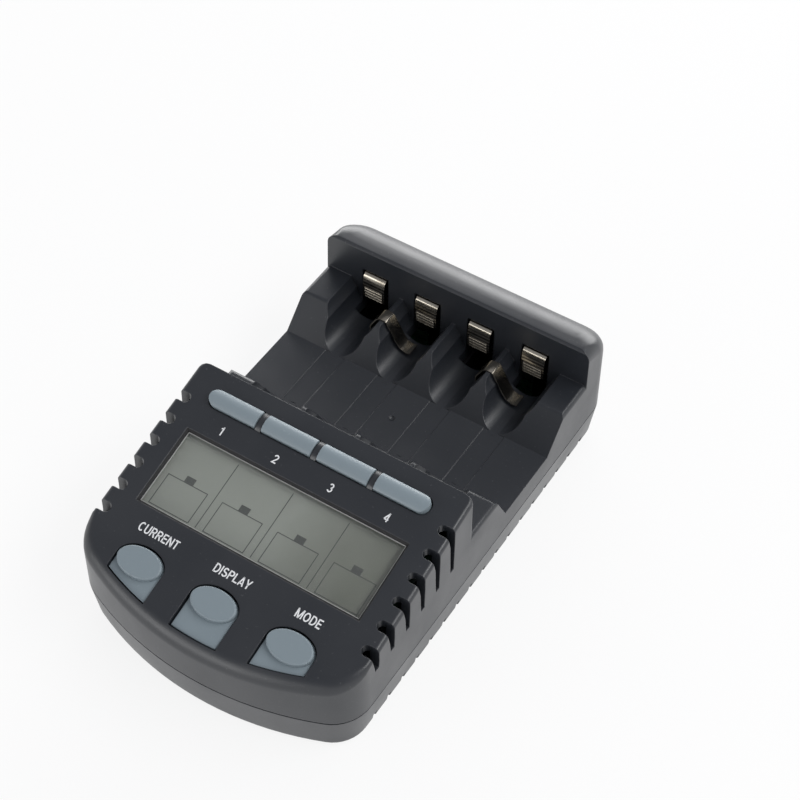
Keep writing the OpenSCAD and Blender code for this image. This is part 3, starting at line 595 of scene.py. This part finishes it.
def crystal_glass(look):
    """Unlit liquid crystal behind its polariser: a grey with painted shade that darkens it to the
    right, the shade's edge shifted by clouds.
    """
    finish, tree, shader = new_finish("crystal_glass")
    clouds = object_noise(tree, *GLASS_CLOUDS)
    shift = map_range(tree, clouds, NOISE_SPAN, (-CLOUD_REACH, CLOUD_REACH))
    across = object_axis(tree, "X")
    drift = add(tree, "ShaderNodeMath", {0: across, 1: shift}, operation="ADD").outputs[0]
    # Painted shade: the glass darkens from its middle towards its right end
    tone = blend(tree, map_range(tree, drift, PAINTED_SHADE_SPAN), opaque(look.glass), opaque(look.dim))
    tree.links.new(tone, shader.inputs["Base Color"])
    frost = map_range(tree, object_noise(tree, *GLASS_FROST), NOISE_SPAN, (0.3, 0.4))
    tree.links.new(frost, shader.inputs["Roughness"])
    return finish


def clear_lens(look):
    """Clear acrylic that lets the lamps through to the glass below it."""
    finish, tree, shader = new_finish("clear_acrylic")
    shader.inputs["Base Color"].default_value = opaque(look.lens)
    shader.inputs["Transmission Weight"].default_value = 1
    shader.inputs["IOR"].default_value = LENS_IOR
    haze = map_range(tree, object_noise(tree, *LENS_HAZE), (0.4, 0.7), (0.02, 0.06))
    tree.links.new(haze, shader.inputs["Roughness"])
    shadow = add(tree, "ShaderNodeLightPath").outputs["Is Shadow Ray"]
    through = add(tree, "ShaderNodeBsdfTransparent", {"Color": opaque(look.lens)}).outputs[0]
    mix = add(tree, "ShaderNodeMixShader", {0: shadow, 1: shader.outputs[0], 2: through}).outputs[0]
    tree.links.new(mix, tree.nodes["Material Output"].inputs["Surface"])
    return finish


def flat_ink(name, ink, roughness):
    """Ink or a dark segment, with the faint mottle of print."""
    finish, tree, shader = new_finish(name)
    mottle = map_range(tree, object_noise(tree, *INK_MOTTLE), NOISE_SPAN)
    thin = opaque(THIN_INK * c for c in ink)
    tree.links.new(blend(tree, mottle, opaque(ink), thin), shader.inputs["Base Color"])
    shader.inputs["Roughness"].default_value = roughness
    return finish


def solder_mask(look):
    """Board with covered tracks that run in straight steps."""
    finish, tree, shader = new_finish("solder_mask")
    bricks = {
        "Vector": object_place(tree),
        "Scale": 160,
        "Mortar Size": 0.09,
        "Brick Width": 0.9,
        "Row Height": 0.4,
    }
    brick = add(tree, "ShaderNodeTexBrick", bricks, offset=0.37, offset_frequency=3)
    tracks = brick.outputs["Fac"]
    tone = blend(tree, tracks, opaque(look.mask), opaque(look.track))
    sheen = map_range(tree, object_noise(tree, *MASK_SHEEN), NOISE_SPAN, (0.25, 0.4))
    tree.links.new(tone, shader.inputs["Base Color"])
    tree.links.new(sheen, shader.inputs["Roughness"])
    set_bump(tree, shader, tracks, TRACK_DEPTH)
    return finish


def black_epoxy(look):
    """Black moulding compound of the components."""
    finish, tree, shader = new_finish("black_epoxy")
    grain = use_group(tree, "moulded_grain", {"Cells": EPOXY_CELLS, "Shine": 0.38, "Matt": 0.55})
    film = map_range(tree, object_noise(tree, *EPOXY_FILM), (0.45, 0.8), (0, 0.3))
    pale = opaque(DUSTY_EPOXY * c for c in look.epoxy)
    tree.links.new(blend(tree, film, opaque(look.epoxy), pale), shader.inputs["Base Color"])
    tree.links.new(grain["Roughness"], shader.inputs["Roughness"])
    set_bump(tree, shader, grain["Height"], EPOXY_DEPTH)
    return finish


def striped_elastomer(look):
    """Rubber connector with thin conducting layers across it."""
    finish, tree, shader = new_finish("striped_elastomer")
    bands = {"Vector": object_place(tree), "Scale": LAYER_SCALE}
    wave = add(tree, "ShaderNodeTexWave", bands, bands_direction="X").outputs["Fac"]
    layers = map_range(tree, wave, (0.45, 0.55))
    tone = blend(tree, layers, opaque(look.elastomer), opaque(look.carbon))
    tree.links.new(tone, shader.inputs["Base Color"])
    shader.inputs["Roughness"].default_value = ELASTOMER_ROUGHNESS
    return finish


def foot_rubber(look):
    """Dull rubber with dust pressed into it."""
    finish, tree, shader = new_finish("foot_rubber")
    pale = opaque(DUSTY_RUBBER * c for c in look.rubber)
    dust = map_range(tree, object_noise(tree, *RUBBER_DUST), (0.5, 0.75), (0, 0.6))
    tree.links.new(blend(tree, dust, opaque(look.rubber), pale), shader.inputs["Base Color"])
    shader.inputs["Roughness"].default_value = RUBBER_ROUGHNESS
    set_bump(tree, shader, object_noise(tree, *RUBBER_GRAIN), RUBBER_DEPTH)
    return finish


# Pieces

def add_rounding(piece, width, crease):
    """Rounds those edges of a piece that are sharper than a crease."""
    rounding = piece.modifiers.new("Edges", "BEVEL")
    rounding.width = width
    rounding.segments = ROUND_STEPS
    rounding.limit_method = "ANGLE"
    rounding.angle_limit = crease


def dress(node, finish, edge=0, crease=CREASE):
    """Shows a node in a finish, smooth over its curves, with its edges split or also rounded."""
    piece = frame["nodes"][node]
    mesh = piece.data
    mesh.materials.clear()
    mesh.materials.append(finish)
    for name in ("custom_normal", "sharp_edge", "sharp_face"):
        if name in mesh.attributes:
            mesh.attributes.remove(mesh.attributes[name])
    weld = piece.modifiers.new("Weld", "WELD")
    weld.merge_threshold = WELD_REACH
    plain = piece.modifiers.new("Plain faces", "DECIMATE")
    plain.decimate_type = "DISSOLVE"
    plain.angle_limit = PLANE_ANGLE
    if edge:
        add_rounding(piece, edge, crease)
    creases = piece.modifiers.new("Creases", "EDGE_SPLIT")
    creases.split_angle = crease
    creases.use_edge_sharp = False
    even = piece.modifiers.new("Even shading", "WEIGHTED_NORMAL")
    even.mode = "FACE_AREA_WITH_ANGLE"


def to_mesh(name, bm):
    """Turns what was drawn into a mesh."""
    mesh = bpy.data.meshes.new(name)
    bm.to_mesh(mesh)
    bm.free()
    return mesh


def deck_mesh(name, bm):
    """Turns what was drawn in the deck's axes into a mesh in the part's frame."""
    bm.transform(DECK_TURN.to_4x4())
    return to_mesh(name, bm)


def add_piece(name, mesh, finish, body="case"):
    """A new piece that moves with a body."""
    mesh.materials.append(finish)
    piece = bpy.data.objects.new(name, mesh)
    bpy.context.scene.collection.objects.link(piece)
    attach(piece, body)
    return piece


def add_slab(bm, low, high):
    """Adds a thin flat box between two corners in the deck's axes."""
    middle = (low + high) / 2
    place = Matrix.Translation(middle) @ Matrix.Diagonal((*(high - low), 1))
    bmesh.ops.create_cube(bm, size=1, matrix=place)


def add_ring(bm, middle, half, section):
    """Adds a closed frame round a rectangle: each point of its section is (outwards, upwards)."""
    corners = ((-1, -1), (1, -1), (1, 1), (-1, 1))
    loops = []
    for out, up in section:
        x, y = half.x + out, half.y + out
        loops.append([bm.verts.new(middle + Vector((i * x, j * y, up))) for i, j in corners])
    for first, second in zip(loops, loops[1:] + loops[:1]):
        for k in range(len(corners)):
            n = (k + 1) % len(corners)
            bm.faces.new((first[k], first[n], second[n], second[k]))
    bmesh.ops.recalc_face_normals(bm, faces=bm.faces)


def bend(x, y, across, up, start, end):
    """Points along part of an ellipse, by angles in degrees."""
    steps = max(3, round(abs(end - start) / CURVE_STEP))
    turns = [math.radians(start + (end - start) * k / steps) for k in range(steps + 1)]
    return [(x + across * math.cos(a), y + up * math.sin(a)) for a in turns]


def letter_strokes():
    """Middle lines of the print's letters, one unit high, each with the width that it takes up."""
    stem = [(0.09, 0), (0.09, 1)]
    bowl = [(0.09, 0.93), (0.36, 0.93), *bend(0.36, 0.705, 0.22, 0.225, 90, -90)[1:], (0.09, 0.48)]
    belly = [(0.09, 0.93), (0.3, 0.93), *bend(0.3, 0.5, 0.3, 0.43, 90, -90)[1:], (0.09, 0.07)]
    bars = [[(0.09, y), (x, y)] for x, y in ((0.56, 0.93), (0.52, 0.51), (0.57, 0.07))]
    snake = bend(0.32, 0.715, 0.22, 0.215, 25, 270) + bend(0.32, 0.285, 0.24, 0.215, 90, -155)[1:]
    return {
        "A": (0.7, [[(0.08, 0), (0.35, 1)], [(0.62, 0), (0.35, 1)], [(0.17, 0.27), (0.53, 0.27)]]),
        "C": (0.7, [bend(0.37, 0.5, 0.28, 0.43, 48, 312)]),
        "D": (0.68, [stem, belly]),
        "E": (0.58, [stem, *bars]),
        "I": (0.18, [stem]),
        "L": (0.56, [stem, bars[2]]),
        "M": (0.86, [stem, [(0.09, 1), (0.43, 0)], [(0.77, 1), (0.43, 0)], [(0.77, 0), (0.77, 1)]]),
        "N": (0.7, [stem, [(0.09, 1), (0.61, 0)], [(0.61, 0), (0.61, 1)]]),
        "O": (0.76, [bend(0.38, 0.5, 0.29, 0.43, 0, 360)]),
        "P": (0.64, [stem, bowl]),
        "R": (0.68, [stem, bowl, [(0.36, 0.48), (0.59, 0)]]),
        "S": (0.64, [snake]),
        "T": (0.6, [[(0.02, 0.93), (0.58, 0.93)], [(0.3, 0), (0.3, 0.93)]]),
        "U": (0.68, [[(0.09, 1), *bend(0.34, 0.32, 0.25, 0.25, 180, 360), (0.59, 1)]]),
        "Y": (0.66, [
            [(0.06, 1), (0.33, 0.42)], [(0.6, 1), (0.33, 0.42)], [(0.33, 0), (0.33, 0.46)],
        ]),
        "1": (0.4, [[(0.3, 0), (0.3, 1)], [(0.3, 0.93), (0.19, 0.79), (0.05, 0.74)]]),
        "2": (0.6, [[*bend(0.3, 0.71, 0.22, 0.22, 170, -35), (0.08, 0.07), (0.56, 0.07)]]),
        "3": (0.6, [bend(0.29, 0.72, 0.2, 0.21, 160, -90), bend(0.29, 0.29, 0.23, 0.22, 90, -160)]),
        "4": (0.62, [
            [(0.56, 0.26), (0.05, 0.26)], [(0.05, 0.26), (0.42, 1)], [(0.42, 0), (0.42, 1)],
        ]),
    }


def add_ribbon(bm, path, width, depth):
    """Adds a flat closed ribbon along a line of points."""
    points = [Vector((*p, 0)) for p in path]
    rings = []
    for k, point in enumerate(points):
        before = (point - points[max(k - 1, 0)]).normalized()
        after = (points[min(k + 1, len(points) - 1)] - point).normalized()
        along = (before + after).normalized()
        side = Vector((-along.y, along.x, 0))
        mitre = side.dot(Vector((-after.y, after.x, 0))) if after.length else 1
        reach = width / 2 / max(mitre, MITRE_LIMIT)
        lift = Vector((0, 0, depth / 2))
        out = side * reach
        ends = (out - lift, -out - lift, lift - out, out + lift)
        rings.append([bm.verts.new(point + e) for e in ends])
    for first, second in zip(rings, rings[1:]):
        for k in range(4):
            bm.faces.new((first[k], first[k - 1], second[k - 1], second[k]))
    bm.faces.new(rings[0])
    bm.faces.new(rings[-1][::-1])


def words_bmesh(words, stroke, depth):
    """Words one unit high and of the given depth, with their middle over the origin."""
    letters = letter_strokes()
    bm = bmesh.new()
    x = 0
    for letter in words:
        width, strokes = letters[letter]
        for path in strokes:
            add_ribbon(bm, [(x + p[0], p[1]) for p in path], stroke, depth)
        x += width + LETTER_GAP
    bmesh.ops.recalc_face_normals(bm, faces=bm.faces)
    bm.transform(Matrix.Translation((-(x - LETTER_GAP) / 2, -0.5, 0)))
    return bm


def add_mark(name, words, place, height, width, look, finish):
    """Printed words on the deck, with letters of the given height and width."""
    bm = words_bmesh(words, look.stroke, look.ink_t)
    bm.transform(Matrix.Diagonal((width, height, 1, 1)))
    bm.transform(Matrix.Translation(place))
    return add_piece(name, deck_mesh(name, bm), finish)


# Operators

class CHARGER_OT_case(bpy.types.Operator):
    """Dresses the two moulded shells"""
    bl_idname = "charger.case"
    bl_label = "Case shells"

    def execute(self, context):
        look = context.scene.charger_case
        plastic = moulded_plastic("charcoal_plastic", look.plastic, look.dust, look, CASE_IOR)
        for node in SHELLS:
            dress(node, plastic)
        return {"FINISHED"}


class CHARGER_OT_keys(bpy.types.Operator):
    """Dresses the four slot keys and the three front keys"""
    bl_idname = "charger.keys"
    bl_label = "Keys"

    def execute(self, context):
        look = context.scene.charger_keys
        slate = moulded_plastic("slate_plastic", look.plastic, look.worn, look, KEY_IOR)
        for node in SLOT_KEYS + FRONT_KEYS:
            dress(node, slate, look.edge)
        for node in FRONT_KEYS:
            self.raise_tab(node, slate, look)
        return {"FINISHED"}

    def raise_tab(self, node, finish, look):
        """Builds up the flat tab in front of a key's disc with a plate of the tab's own outline."""
        source = frame["nodes"][node].data
        levels = {}
        for face in source.polygons:
            if face.normal.dot(DECK_OUT) > FLAT_COSINE:
                level = round(face.center.dot(DECK_OUT), HEIGHT_DECIMALS)
                levels.setdefault(level, set()).update(face.vertices)
        _disc, tab_level = sorted(levels, reverse=True)[:2]
        bm = bmesh.new()
        for i in levels[tab_level]:
            for rise in (0, look.tab_rise):
                bm.verts.new(source.vertices[i].co + DECK_OUT * rise)
        hull = bmesh.ops.convex_hull(bm, input=bm.verts)
        inside = hull["geom_interior"] + hull["geom_unused"]
        spare = {v for v in inside if isinstance(v, bmesh.types.BMVert)}
        bmesh.ops.delete(bm, geom=list(spare), context="VERTS")
        bmesh.ops.dissolve_limit(bm, angle_limit=TAB_PLANE, verts=bm.verts, edges=bm.edges)
        name = f"{node}_tab"
        tab = add_piece(name, to_mesh(name, bm), finish, node)
        add_rounding(tab, look.edge, TAB_CREASE)


class CHARGER_OT_display(bpy.types.Operator):
    """Dresses the display and lays its dark segments on the glass"""
    bl_idname = "charger.display"
    bl_label = "Display"

    def execute(self, context):
        look = context.scene.charger_display
        dress("lcd_panel", crystal_glass(look))
        dress("display_lens", clear_lens(look))
        bm = bmesh.new()
        self.add_columns(bm, look)
        dark = flat_ink("dark_segment", look.segment, SEGMENT_ROUGHNESS)
        add_piece("display_segments", deck_mesh("display_segments", bm), dark)
        self.add_surround(look)
        return {"FINISHED"}

    def add_surround(self, look):
        """Painted highlight on the lens's edge, and a near-black band of painted shade over the
        window's wall and bevel, between the lens and the deck.
        """
        low, high = deck_box("display_lens")
        middle = (low + high) / 2
        top = Vector((middle.x, middle.y, high.z))
        half = (high - low) / 2 - Vector((look.ledge, look.ledge, 0))
        rim = (
            (TRIM_GAP, 0), (TRIM_GAP, look.rim_t),
            (-look.rim_w, look.rim_t), (-look.rim_w, 0),
        )
        # Section of the band of painted shade over the window's wall and bevel
        lip = look.bevel - TRIM_INSET
        rise = DECK_RECESS - look.bevel
        shade_band = (
            (-TRIM_GAP, TRIM_GAP), (-TRIM_GAP, rise + TRIM_GAP),
            (lip, rise + lip + 2 * TRIM_GAP), (lip, TRIM_GAP),
        )
        # A light ring of painted highlight on the lens, and a near-black ring of painted shade over
        # the window's wall and bevel
        for name, section, ink, roughness in (
            ("lens_rim", rim, look.rim, RIM_ROUGHNESS),
            ("window_gasket", shade_band, look.gasket, SHADE_BAND_ROUGHNESS),
        ):
            bm = bmesh.new()
            add_ring(bm, top, half, section)
            add_piece(name, deck_mesh(name, bm), flat_ink(name, ink, roughness))

    def add_columns(self, bm, look):
        """Four battery outlines with dividers between them."""
        middle = deck_middle("lcd_panel")
        foot = deck_box("lcd_panel")[1].z
        columns = len(SLOT_KEYS)

        def slab(x, v, half_x, half_v):
            size = Vector((half_x, half_v, look.segment_t / 2))
            place = Vector((middle.x + x, middle.y + v, foot + look.segment_t / 2))
            add_slab(bm, place - size, place + size)

        line = look.line / 2
        cell_mid = -(look.cell_low + look.cell_top) / 2
        cell_half = (look.cell_low - look.cell_top) / 2
        divider_mid = (look.divider_top - look.cell_low) / 2
        divider_half = (look.divider_top + look.cell_low) / 2
        for i in range(columns):
            x = (i - (columns - 1) / 2) * look.pitch
            for side in (-1, 1):
                slab(x + side * (look.cell_w / 2 - line), cell_mid, line, cell_half)
                slab(x, cell_mid + side * (cell_half - line), look.cell_w / 2 - look.line, line)
            slab(x, look.cap_h / 2 - look.cell_top, look.cap_w / 2, look.cap_h / 2)
        for i in range(1, columns):
            slab((i - columns / 2) * look.pitch, divider_mid, line, divider_half)


class CHARGER_OT_marks(bpy.types.Operator):
    """Prints the bay numbers and the words over the front keys"""
    bl_idname = "charger.marks"
    bl_label = "Printed marks"

    def execute(self, context):
        look = context.scene.charger_marks
        ink = flat_ink("white_ink", look.ink, INK_ROUGHNESS)
        surface = deck_box("display_lens")[1].z + DECK_RECESS + look.ink_t / 2
        for i, node in enumerate(SLOT_KEYS):
            x = (i - (len(SLOT_KEYS) - 1) / 2) * look.digit_pitch
            place = Vector((x, deck_middle(node).y - look.digit_set, surface))
            number = i + 1
            size = (look.digit_h, look.letter_w)
            add_mark(f"bay_number_{number}", str(number), place, *size, look, ink)
        for node, words in KEY_WORDS.items():
            key = self.disc_middle(node)
            place = Vector((key.x, key.y + look.word_set, surface))
            add_mark(f"{node}_word", words, place, look.word_h, look.letter_w, look, ink)
        return {"FINISHED"}

    def disc_middle(self, node):
        """Middle of a front key's raised disc, which is its highest flat part."""
        corners = deck_corners(node)
        top = max(c.z for c in corners)
        disc = [c for c in corners if c.z > top - DISC_DEPTH]
        return sum(disc, Vector()) / len(disc)


class CHARGER_OT_contacts(bpy.types.Operator):
    """Dresses the spring contacts and the temperature strips"""
    bl_idname = "charger.contacts"
    bl_label = "Contacts"

    def execute(self, context):
        look = context.scene.charger_metal
        coat = (look.nickel, look.tarnish, STRIP_STREAKS)
        nickel = plated_metal("plated_nickel", *coat, roughness=(0.16, 0.38))
        # Painted shade between the contacts' ridges and in their pockets
        ridge_shaded_nickel = plated_metal("ridged_nickel", *coat, roughness=(0.2, 0.4), ridges=look)
        for node in CONTACTS:
            dress(node, ridge_shaded_nickel, crease=SHEET_CREASE)
        for node in STRIPS:
            dress(node, nickel, crease=SHEET_CREASE)
        return {"FINISHED"}


class CHARGER_OT_boards(bpy.types.Operator):
    """Dresses the circuit boards and everything they carry"""
    bl_idname = "charger.boards"
    bl_label = "Boards"

    def execute(self, context):
        look = context.scene.charger_boards
        metal = context.scene.charger_metal
        mask = solder_mask(look)
        epoxy = black_epoxy(look)
        coat = (metal.aluminium, metal.zinc, CAN_STREAKS)
        cans = plated_metal("drawn_aluminium", *coat, roughness=(0.2, 0.35))
        for node in ("main_board", "display_board"):
            dress(node, mask)
        for node in BLACK_PARTS:
            dress(node, epoxy, look.edge)
        dress("capacitors", cans, look.edge)
        dress("lcd_connectors", striped_elastomer(look))
        return {"FINISHED"}


class CHARGER_OT_underside(bpy.types.Operator):
    """Dresses the case screws and the rubber feet"""
    bl_idname = "charger.underside"
    bl_label = "Screws and feet"

    def execute(self, context):
        metal = context.scene.charger_metal
        coat = (metal.zinc, metal.tarnish, SCREW_STREAKS)
        zinc = plated_metal("zinc_plate", *coat, roughness=(0.22, 0.42))
        dress("case_screws", zinc, metal.edge)
        dress("rubber_feet", foot_rubber(context.scene.charger_boards))
        return {"FINISHED"}


class CHARGER_OT_stage(bpy.types.Operator):
    """Sets up the floor, the light and the camera"""
    bl_idname = "charger.stage"
    bl_label = "Stage"

    def execute(self, context):
        setup = context.scene.charger_stage
        self.lay_floor(setup)
        self.light_room(context.scene, setup)
        for side in ("left", "right", "back"):
            self.hang_softbox(setup, side)
        self.place_camera(context.scene, setup)
        context.scene.view_settings.view_transform = "Standard"
        return {"FINISHED"}

    def outward(self, azimuth, elevation):
        """Direction from the charger; azimuth 0 is straight in front of it."""
        flat = math.cos(elevation)
        return Vector((math.sin(azimuth) * flat, -math.cos(azimuth) * flat, math.sin(elevation)))

    def lay_floor(self, setup):
        """A round pale floor that shows plain white to the camera and still takes shadows."""
        bm = bmesh.new()
        bmesh.ops.create_circle(bm, cap_ends=True, segments=FLOOR_SIDES, radius=setup.floor_r)
        mesh = to_mesh("floor", bm)
        finish, tree, shader = new_finish("pale_floor")
        shader.inputs["Base Color"].default_value = opaque(setup.floor)
        shader.inputs["Roughness"].default_value = FLOOR_ROUGHNESS
        shader.inputs["Specular IOR Level"].default_value = 0
        rays = add(tree, "ShaderNodeLightPath").outputs
        mirrored = greater(tree, rays["Is Glossy Ray"], rays["Is Transmission Ray"])
        seen = greater(tree, rays["Is Camera Ray"], mirrored)
        glow = add(tree, "ShaderNodeEmission", {"Color": (1, 1, 1, 1), "Strength": 1}).outputs[0]
        part = multiply(tree, seen, setup.floor_glow)
        mix = add(tree, "ShaderNodeMixShader", {0: part, 1: shader.outputs[0], 2: glow}).outputs[0]
        tree.links.new(mix, tree.nodes["Material Output"].inputs["Surface"])
        mesh.materials.append(finish)
        floor = bpy.data.objects.new("floor", mesh)
        bpy.context.scene.collection.objects.link(floor)
        floor.location.z = CAD_BOX[0].z

    def light_room(self, scene, setup):
        """White walls under a greyer ceiling."""
        world = bpy.data.worlds.new("studio")
        world.use_nodes = True
        scene.world = world
        tree = world.node_tree
        place = add(tree, "ShaderNodeTexCoord").outputs["Generated"]
        rise = add(tree, "ShaderNodeSeparateXYZ", {0: place}).outputs["Z"]
        ceiling = map_range(tree, rise, WALL_SPAN)
        shade = blend(tree, ceiling, opaque(setup.horizon), opaque(setup.zenith))
        tree.links.new(shade, tree.nodes["Background"].inputs["Color"])

    def hang_softbox(self, setup, side):
        """A large soft lamp that faces the charger."""
        parts = ("turn", "rise", "w", "h", "power")
        turn, rise, width, height, watts = (getattr(setup, f"{side}_{part}") for part in parts)
        lamp = bpy.data.lights.new(f"{side}_softbox", "AREA")
        lamp.shape = "RECTANGLE"
        lamp.size = width
        lamp.size_y = height
        lamp.energy = watts
        softbox = bpy.data.objects.new(lamp.name, lamp)
        bpy.context.scene.collection.objects.link(softbox)
        back = self.outward(turn, rise)
        softbox.location = Vector(setup.target) + back * setup.lamp_far
        softbox.rotation_euler = back.to_track_quat("Z", "Y").to_euler()
        softbox.visible_camera = False

    def place_camera(self, scene, setup):
        """The photograph's camera: aimed at a target and rolled a little."""
        lens = bpy.data.cameras.new("camera")
        lens.lens = setup.focal
        camera = bpy.data.objects.new("camera", lens)
        scene.collection.objects.link(camera)
        back = self.outward(setup.azimuth, setup.elevation)
        level = Vector((math.cos(setup.azimuth), math.sin(setup.azimuth), 0))
        up = back.cross(level)
        turn = Matrix((level, up, back)).transposed() @ Matrix.Rotation(setup.roll, 3, "Z")
        place = Vector(setup.target) + back * setup.distance
        camera.matrix_world = Matrix.Translation(place) @ turn.to_4x4()
        scene.camera = camera


OPERATORS = (
    CHARGER_OT_case,
    CHARGER_OT_keys,
    CHARGER_OT_display,
    CHARGER_OT_marks,
    CHARGER_OT_contacts,
    CHARGER_OT_boards,
    CHARGER_OT_underside,
    CHARGER_OT_stage,
)


class CHARGER_PT_looks(bpy.types.Panel):
    """Lists the pieces and their settings"""
    bl_idname = "CHARGER_PT_looks"
    bl_label = "Charger"
    bl_space_type = "VIEW_3D"
    bl_region_type = "UI"
    bl_category = "Charger"

    def draw(self, context):
        for operator in OPERATORS:
            self.layout.operator(operator.bl_idname)
        for name, group in SETTINGS.items():
            box = self.layout.box()
            box.label(text=group.__doc__)
            for prop in group.__annotations__:
                box.prop(getattr(context.scene, name), prop)


CLASSES = (*SETTINGS.values(), *OPERATORS, CHARGER_PT_looks)


def register():
    for cls in CLASSES:
        bpy.utils.register_class(cls)
    for name, group in SETTINGS.items():
        setattr(bpy.types.Scene, name, PointerProperty(type=group))


def unregister():
    for name in SETTINGS:
        delattr(bpy.types.Scene, name)
    for cls in reversed(CLASSES):
        bpy.utils.unregister_class(cls)


def main():
    register()
    for build in (build_moulded_grain, build_soft_edges, build_handling, build_rolled_metal):
        build()
    bpy.ops.charger.case()
    bpy.ops.charger.keys()
    bpy.ops.charger.display()
    bpy.ops.charger.marks()
    bpy.ops.charger.contacts()
    bpy.ops.charger.boards()
    bpy.ops.charger.underside()
    bpy.ops.charger.stage()


if __name__ == "__main__":
    main()
